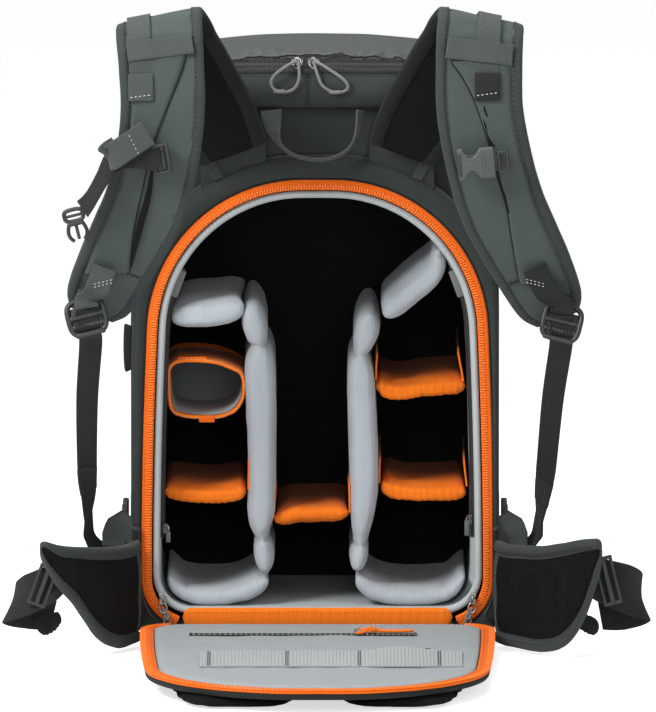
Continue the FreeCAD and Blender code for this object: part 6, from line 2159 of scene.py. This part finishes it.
shelf_pad("shelf_pad_left", [(-134.0, 134.6, 4.4), (-129, 133.2, 5.6), (-112, 131.2, 5.6), (-96, 130.8, 5.4), (-82, 131.2, 5.6), (-70, 132.8, 5.8), (-64.8, 134.8, 4.6)], "shelf_l", "shelf_left", [(-61.2, 136, 28, 0.6)], 1.0)
shelf_pad("shelf_pad_centre", [(-36.6, 107.6, 4.0), (-31, 108.8, 5.2), (-21, 111.6, 5.4), (-8, 111.8, 5.0), (6, 112.6, 5.2), (17, 113.2, 5.4), (25.0, 113.8, 4.2)], "shelf_c", "shelf_centre", [(-40.2, 110, 27, 2.2), (29.6, 115, 27, -0.4)], 2.0)
shelf_pad("shelf_pad_right_upper", [(54.0, 230.5, 4.6), (59.5, 226.4, 6.0), (69, 224.4, 6.2), (81, 225.2, 5.8), (93, 227.0, 5.8), (107, 228.2, 5.8), (121, 228.8, 6.0), (129.4, 229.6, 4.8)], "shelf_ru", "shelf_right_upper", [(51.6, 235, 24, 0.6), (131.0, 234, 26, -4.6)], 3.0)
shelf_pad("shelf_pad_right_lower", [(59.0, 140.6, 4.8), (64.5, 136.4, 5.8), (75, 134.0, 5.8), (92, 133.0, 5.6), (108, 132.8, 5.6), (121, 133.0, 5.8), (130.8, 134.4, 4.8)], "shelf_rl", "shelf_right_lower", [(54.6, 142, 22, 0.5), (134.2, 139, 23, -2.4)], 4.0)

# ------------------------------------------------------------------ small orange pouch: a soft wrap with a turned rim and a closed back
U = cat([(-132.6, 0, 250), (-134.9, 0, 243), (-134.7, 0, 228), (-133.2, 0, 213), (-129.0, 0, 204.8), (-119, 0, 201.2), (-108, 0, 199.9), (-97, 0, 199.6), (-86, 0, 200.8), (-76, 0, 204.4), (-68.8, 0, 211.4), (-64.8, 0, 221), (-64.0, 0, 232), (-66.6, 0, 242), (-74, 0, 247.4), (-86, 0, 252.4), (-100, 0, 255.0), (-115, 0, 255.6), (-126, 0, 254.4), (-132.6, 0, 250)], 160)[:-1]
NU = len(U)
UT = np.roll(U, -1, 0) - np.roll(U, 1, 0)
UT /= np.linalg.norm(UT, axis=1)[:, None]
UN = np.stack([UT[:, 2], np.zeros(NU), -UT[:, 0]], 1)
mid_ = U.mean(0)
if np.sum((mid_ - U) * UN) < 0:
    UN = -UN
loops = []
for t, y in ((2.9, 118), (2.8, 70), (2.8, 34), (3.0, 28.5), (3.2, 26.2), (2.4, 25.0), (1.2, 24.8), (0.2, 25.4), (-0.2, 27), (0.0, 32), (0.0, 44), (0, 58), (0, 74), (0, 90), (0, 106), (0, 122)):
    P = U + UN * t
    P[:, 1] = y
    wv = np.array([1.0 * fbm((p[0], y * 0.6, p[2]), 13, 2.0) + 0.6 * fbm((p[0], y * 0.6, p[2]), 6, 4.0) for p in P])
    P = P + UN * (np.abs(wv) * 0.9)[:, None]
    sag = np.clip((P[:, 2] - 238) / 14, 0, 1) * (0.03 * (y - 26) + 1.0)
    P[:, 2] -= sag * 1.0
    P[:, 1] += wv * 0.7 if y < 40 else 0
    loops.append(P)
parts = [(np.vstack(loops), grid_faces(len(loops), NU, wrap_m=True), 0)]
# pale inner face and the closed back
inner = []
for y in (29, 60, 119):
    P = U + UN * 3.9
    P[:, 1] = y
    inner.append(P)
back = []
for s in (1.0, 0.8, 0.55, 0.3, 0.002):
    P = mid_ + (U + UN * 3.9 - mid_) * s
    P[:, 1] = 119 + 1.5 * s
    back.append(P)
parts.append((np.vstack(inner), grid_faces(3, NU, wrap_m=True), 1))
parts.append((np.vstack(back), grid_faces(5, NU, wrap_m=True), 1))
outb = []
for s in (1.0, 0.8, 0.55, 0.3, 0.002):
    P = mid_ + (U - mid_) * s
    P[:, 1] = 122 + 1.2 * (1 - s)
    outb.append(P)
parts.append((np.vstack(outb), grid_faces(5, NU, wrap_m=True), 0))
V, F = rbox((-99, 24.0, 200.2), (14, 1.8, 5.8), 0.8)
parts.append((V, F, 2))
V, F = rbox((-112, 27.0, 254.4), (26, 2.2, 3.6), 1.0)
parts.append((V, F, 2))
V, F, M = stack(parts)
make("pouch_cloth", V, F, ["orange_cloth", "lining", "orange_tape"], "pouch", midx=M, rep=("small_pouch",))
hp = Heap()
P = (U + UN * 1.4)
P[:, 1] = 24.6
stitch_row(hp, P, np.array([0, -1.0, 0]), length=2.2, gap=1.7, r=0.3, lift=0.25)
hp.build("pouch_stitches", "thread_light", "pouch", "orange_divider")

# ------------------------------------------------------------------ pocket zips on the side walls, sliders and garages
parts, hp = [], Heap()
for sg in (-1, 1):
    P = cat([(sg * 120.6, 18, 337), (sg * 127.0, 18, 322), (sg * 132.4, 18, 304), (sg * 134.9, 18, 284), (sg * 136.2, 18, 260), (sg * 138.3, 18, 200), (sg * 139.4, 18, 150), (sg * 140.1, 18, 95)], 130)
    W_ = np.broadcast_to(np.array([sg * -0.45, 1.0, 0]), P.shape)
    V, F, uv = sweep("t", P - np.array([sg * 1.2, 1.0, 0]), W_, flat(9.5, 1.2, 0.5), "t", None, build=False)
    parts.append((V, F, 0))
    T, W2, N2 = frames(P, W_)
    if (N2[50] @ np.array([sg * -1.0, -0.4, 0])) < 0:
        N2 = -N2
    teeth_row(hp, P - np.array([sg * 1.2, 1.0, 0]) + N2 * 0.5, W2, N2, pitch=1.9, w=3.6, t=1.1, hgt=0.9)
V, F, M = stack(parts)
make("wall_zip_tapes", V, F, "dark_tape", "pack", rep=("wall_zips",))
hp.build("wall_zip_coils", "teeth_dark", "pack", "dark_zip")
for sg, side, z0_, z1_ in ((-1, "left", 93, 107), (1, "right", 98, 118)):
    c = np.array([sg * 137.0, 15.4, (z0_ + z1_) / 2 + 3])
    up = unit((-sg * 0.75, -0.65, 0))
    parts = slider_parts(c, (0, 0, 1), up, 0, scale=0.8)
    V, F = rbox(c + up * 4.6 + np.array([0, 0, -7.5]), (4.2, 1.6, 14 if sg > 0 else 10), 0.7)
    parts.append((V, F, 1))
    V, F, M = stack(parts)
    make("wall_zip_slider_" + side, V, F, ["metal", "plastic_light"], "wall_pull_" + side, midx=M, rep=("wall_slider_" + side,))
V, F = rbox((124.2, 13.6, 324), (6.6, 3.0, 25), 1.3, axes=np.array([[0.94, 0, 0.34], [0, 1, 0], [-0.34, 0, 0.94]]))
V2, F2 = rbox((-124.2, 13.6, 324), (6.6, 3.0, 25), 1.3, axes=np.array([[0.94, 0, -0.34], [0, 1, 0], [0.34, 0, 0.94]]))
V, F, M = stack([(V, F, 0), (V2, F2, 0)])
make("wall_zip_garages", V, F, "cord_grey", "pack")

# ------------------------------------------------------------------ black mesh pads on the outside of the door
for k, sg in enumerate((-1, 1)):
    P = []
    hw, z_lo, z_hi = 61.0, 62.0, 402.0
    for a in np.linspace(0, 2 * math.pi, 120, endpoint=False):
        ca, sa = math.cos(a), math.sin(a)
        e = 2 / 5.0
        x = hw * np.sign(ca) * abs(ca) ** e
        z = (z_lo + z_hi) / 2 + (z_hi - z_lo) / 2 * np.sign(sa) * abs(sa) ** e
        lim = (1 - 0.10 * max(0, (z - 250) / 150))
        P.append((sg * 75 + x * lim - sg * 5 * max(0, (z - 250) / 150), z))
    P = np.array(P)
    loops = []
    cen2 = P.mean(0)
    for y, s in ((-19.4, 0.985), (-20.2, 0.998), (-22.0, 1.0), (-24.4, 0.995), (-26.2, 0.975), (-26.9, 0.94)):
        q = cen2 + (P - cen2) * s
        loops.append(np.stack([q[:, 0], np.full(len(q), y), q[:, 1]], 1))
    V = to_door(np.vstack(loops))
    n_ = len(P)
    F = grid_faces(len(loops), n_, wrap_m=True) + [tuple(range(n_))[::-1], tuple((len(loops) - 1) * n_ + j for j in range(n_))]

    def after(co, no):
        d = np.array([0.5 * fbm(p, 30, 3.0) + 0.3 * fbm(p, 12, 5.0) for p in co])
        for yy in (-140, -240, -320):
            d -= 1.3 * np.exp(-((co[:, 1] - yy) / 2.2) ** 2)
        out = co + no * d[:, None]
        out[:, 2] = np.clip(out[:, 2], 0.8, 10.6)
        return out
    puffed("door_back_pad_" + ("left" if sg < 0 else "right"), V, F, "mesh_black", "door", ("back_pads",), voxel=5.0, pressure=4.0, cap=2.0, shrink=0.8, after=after)
# the sewn body is a little slimmer at its side seams
SIDE = {-1: (158.0, 172.0, 0.64), 1: (156.0, 172.0, 0.40)}
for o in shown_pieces():
    rides = body_of(o)
    if o.type != "MESH" or o.name in frame["nodes"] or not rides or "pack" not in rides:
        continue
    only = list(rides) == ["pack"]
    if not only and not o.name.startswith("adjusting_webbing"):
        continue
    n = len(o.data.vertices)
    co = np.zeros(n * 3, np.float32)
    o.data.vertices.foreach_get("co", co)
    co = co.reshape(-1, 3).astype(float)
    if np.abs(co[:, 0]).max() < 0.1555:
        continue
    x = co[:, 0] * 1000.0
    new = x.copy()
    for sg, (a0, a1, k) in SIDE.items():
        a = x * sg
        moved = np.where(a <= a0, a, np.where(a <= a1, a0 + (a - a0) * k, a - (a1 - a0) * (1 - k)))
        if not only:
            w = np.clip((100.0 - co[:, 2] * 1000.0) / 18.0, 0, 1)
            moved = a + (moved - a) * w * w * (3 - 2 * w)
        new = np.where(a > 0, moved * sg, new)
    co[:, 0] = new / 1000.0
    o.data.vertices.foreach_set("co", co.astype(np.float32).ravel())
    o.data.update()



# ------------------------------------------------------------------ floor, light, camera
def stage_plane(name, size, z):
    me = bpy.data.meshes.new(name)
    me.from_pydata([(-size, -size, z), (size, -size, z), (size, size, z), (-size, size, z)], [], [(0, 1, 2, 3)])
    o = bpy.data.objects.new(name, me)
    bpy.context.scene.collection.objects.link(o)
    return o


floor = stage_plane("studio_floor", 6.0, -0.0006)
m = bpy.data.materials.new("studio_white")
m.use_nodes = True
nt = m.node_tree
p = nt.nodes["Principled BSDF"]
p.inputs["Base Color"].default_value = (0.93, 0.93, 0.93, 1)
p.inputs["Roughness"].default_value = 0.45
p.inputs["Specular IOR Level"].default_value = 0.25
p.inputs["Emission Color"].default_value = (1, 1, 1, 1)
lpf = nt.nodes.new("ShaderNodeLightPath")
mxf = nt.nodes.new("ShaderNodeMix")
mxf.data_type = "FLOAT"
nt.links.new(lpf.outputs["Is Camera Ray"], mxf.inputs[0])
mxf.inputs[2].default_value = 0.04
mxf.inputs[3].default_value = 0.66
nt.links.new(mxf.outputs[0], p.inputs["Emission Strength"])
floor.data.materials.append(m)

world = bpy.data.worlds.new("studio")
bpy.context.scene.world = world
world.use_nodes = True
wn = world.node_tree
bg = wn.nodes["Background"]
bg.inputs[0].default_value = (1, 1, 1, 1)
lp = wn.nodes.new("ShaderNodeLightPath")
mx = wn.nodes.new("ShaderNodeMix")
mx.data_type = "FLOAT"
wn.links.new(lp.outputs["Is Camera Ray"], mx.inputs[0])
mx.inputs[2].default_value = 0.32
mx.inputs[3].default_value = 1.3
wn.links.new(mx.outputs[0], bg.inputs[1])


def area(name, loc, target, size, power, color=(1, 1, 1)):
    d = bpy.data.lights.new(name, "AREA")
    d.shape = "RECTANGLE"
    d.size, d.size_y = size
    d.energy = power
    d.color = color
    o = bpy.data.objects.new(name, d)
    bpy.context.scene.collection.objects.link(o)
    o.location = loc
    o.rotation_euler = (Vector(target) - Vector(loc)).to_track_quat("-Z", "Y").to_euler()
    return o


area("key", (-1.25, -1.15, 1.6), (0, 0, 0.26), (0.7, 0.7), 45)
area("fill", (1.35, -1.2, 0.85), (0, 0, 0.25), (1.0, 1.0), 5)
area("top", (0.0, -0.1, 1.7), (0, 0, 0.2), (0.9, 0.5), 13)
area("front", (0.05, -2.2, 0.75), (0, 0, 0.22), (1.2, 0.7), 10)

cam_d = bpy.data.cameras.new("camera")
cam = bpy.data.objects.new("camera", cam_d)
bpy.context.scene.collection.objects.link(cam)
elev = math.radians(8.0)
target = Vector((0.0094, 0.0, 0.2606))
dist = 22.0
cam.location = target + Vector((0, -math.cos(elev), math.sin(elev))) * dist
cam.rotation_euler = (target - cam.location).to_track_quat("-Z", "Y").to_euler()
cam_d.sensor_width = 36
cam_d.sensor_fit = "AUTO"
cam_d.lens = 1.12 * dist * 1000 * 36 / 712
cam_d.clip_start = 1.0
cam_d.clip_end = 200
bpy.context.scene.camera = cam
bpy.context.scene.view_settings.view_transform = "Standard"
bpy.context.scene.view_settings.look = "None"
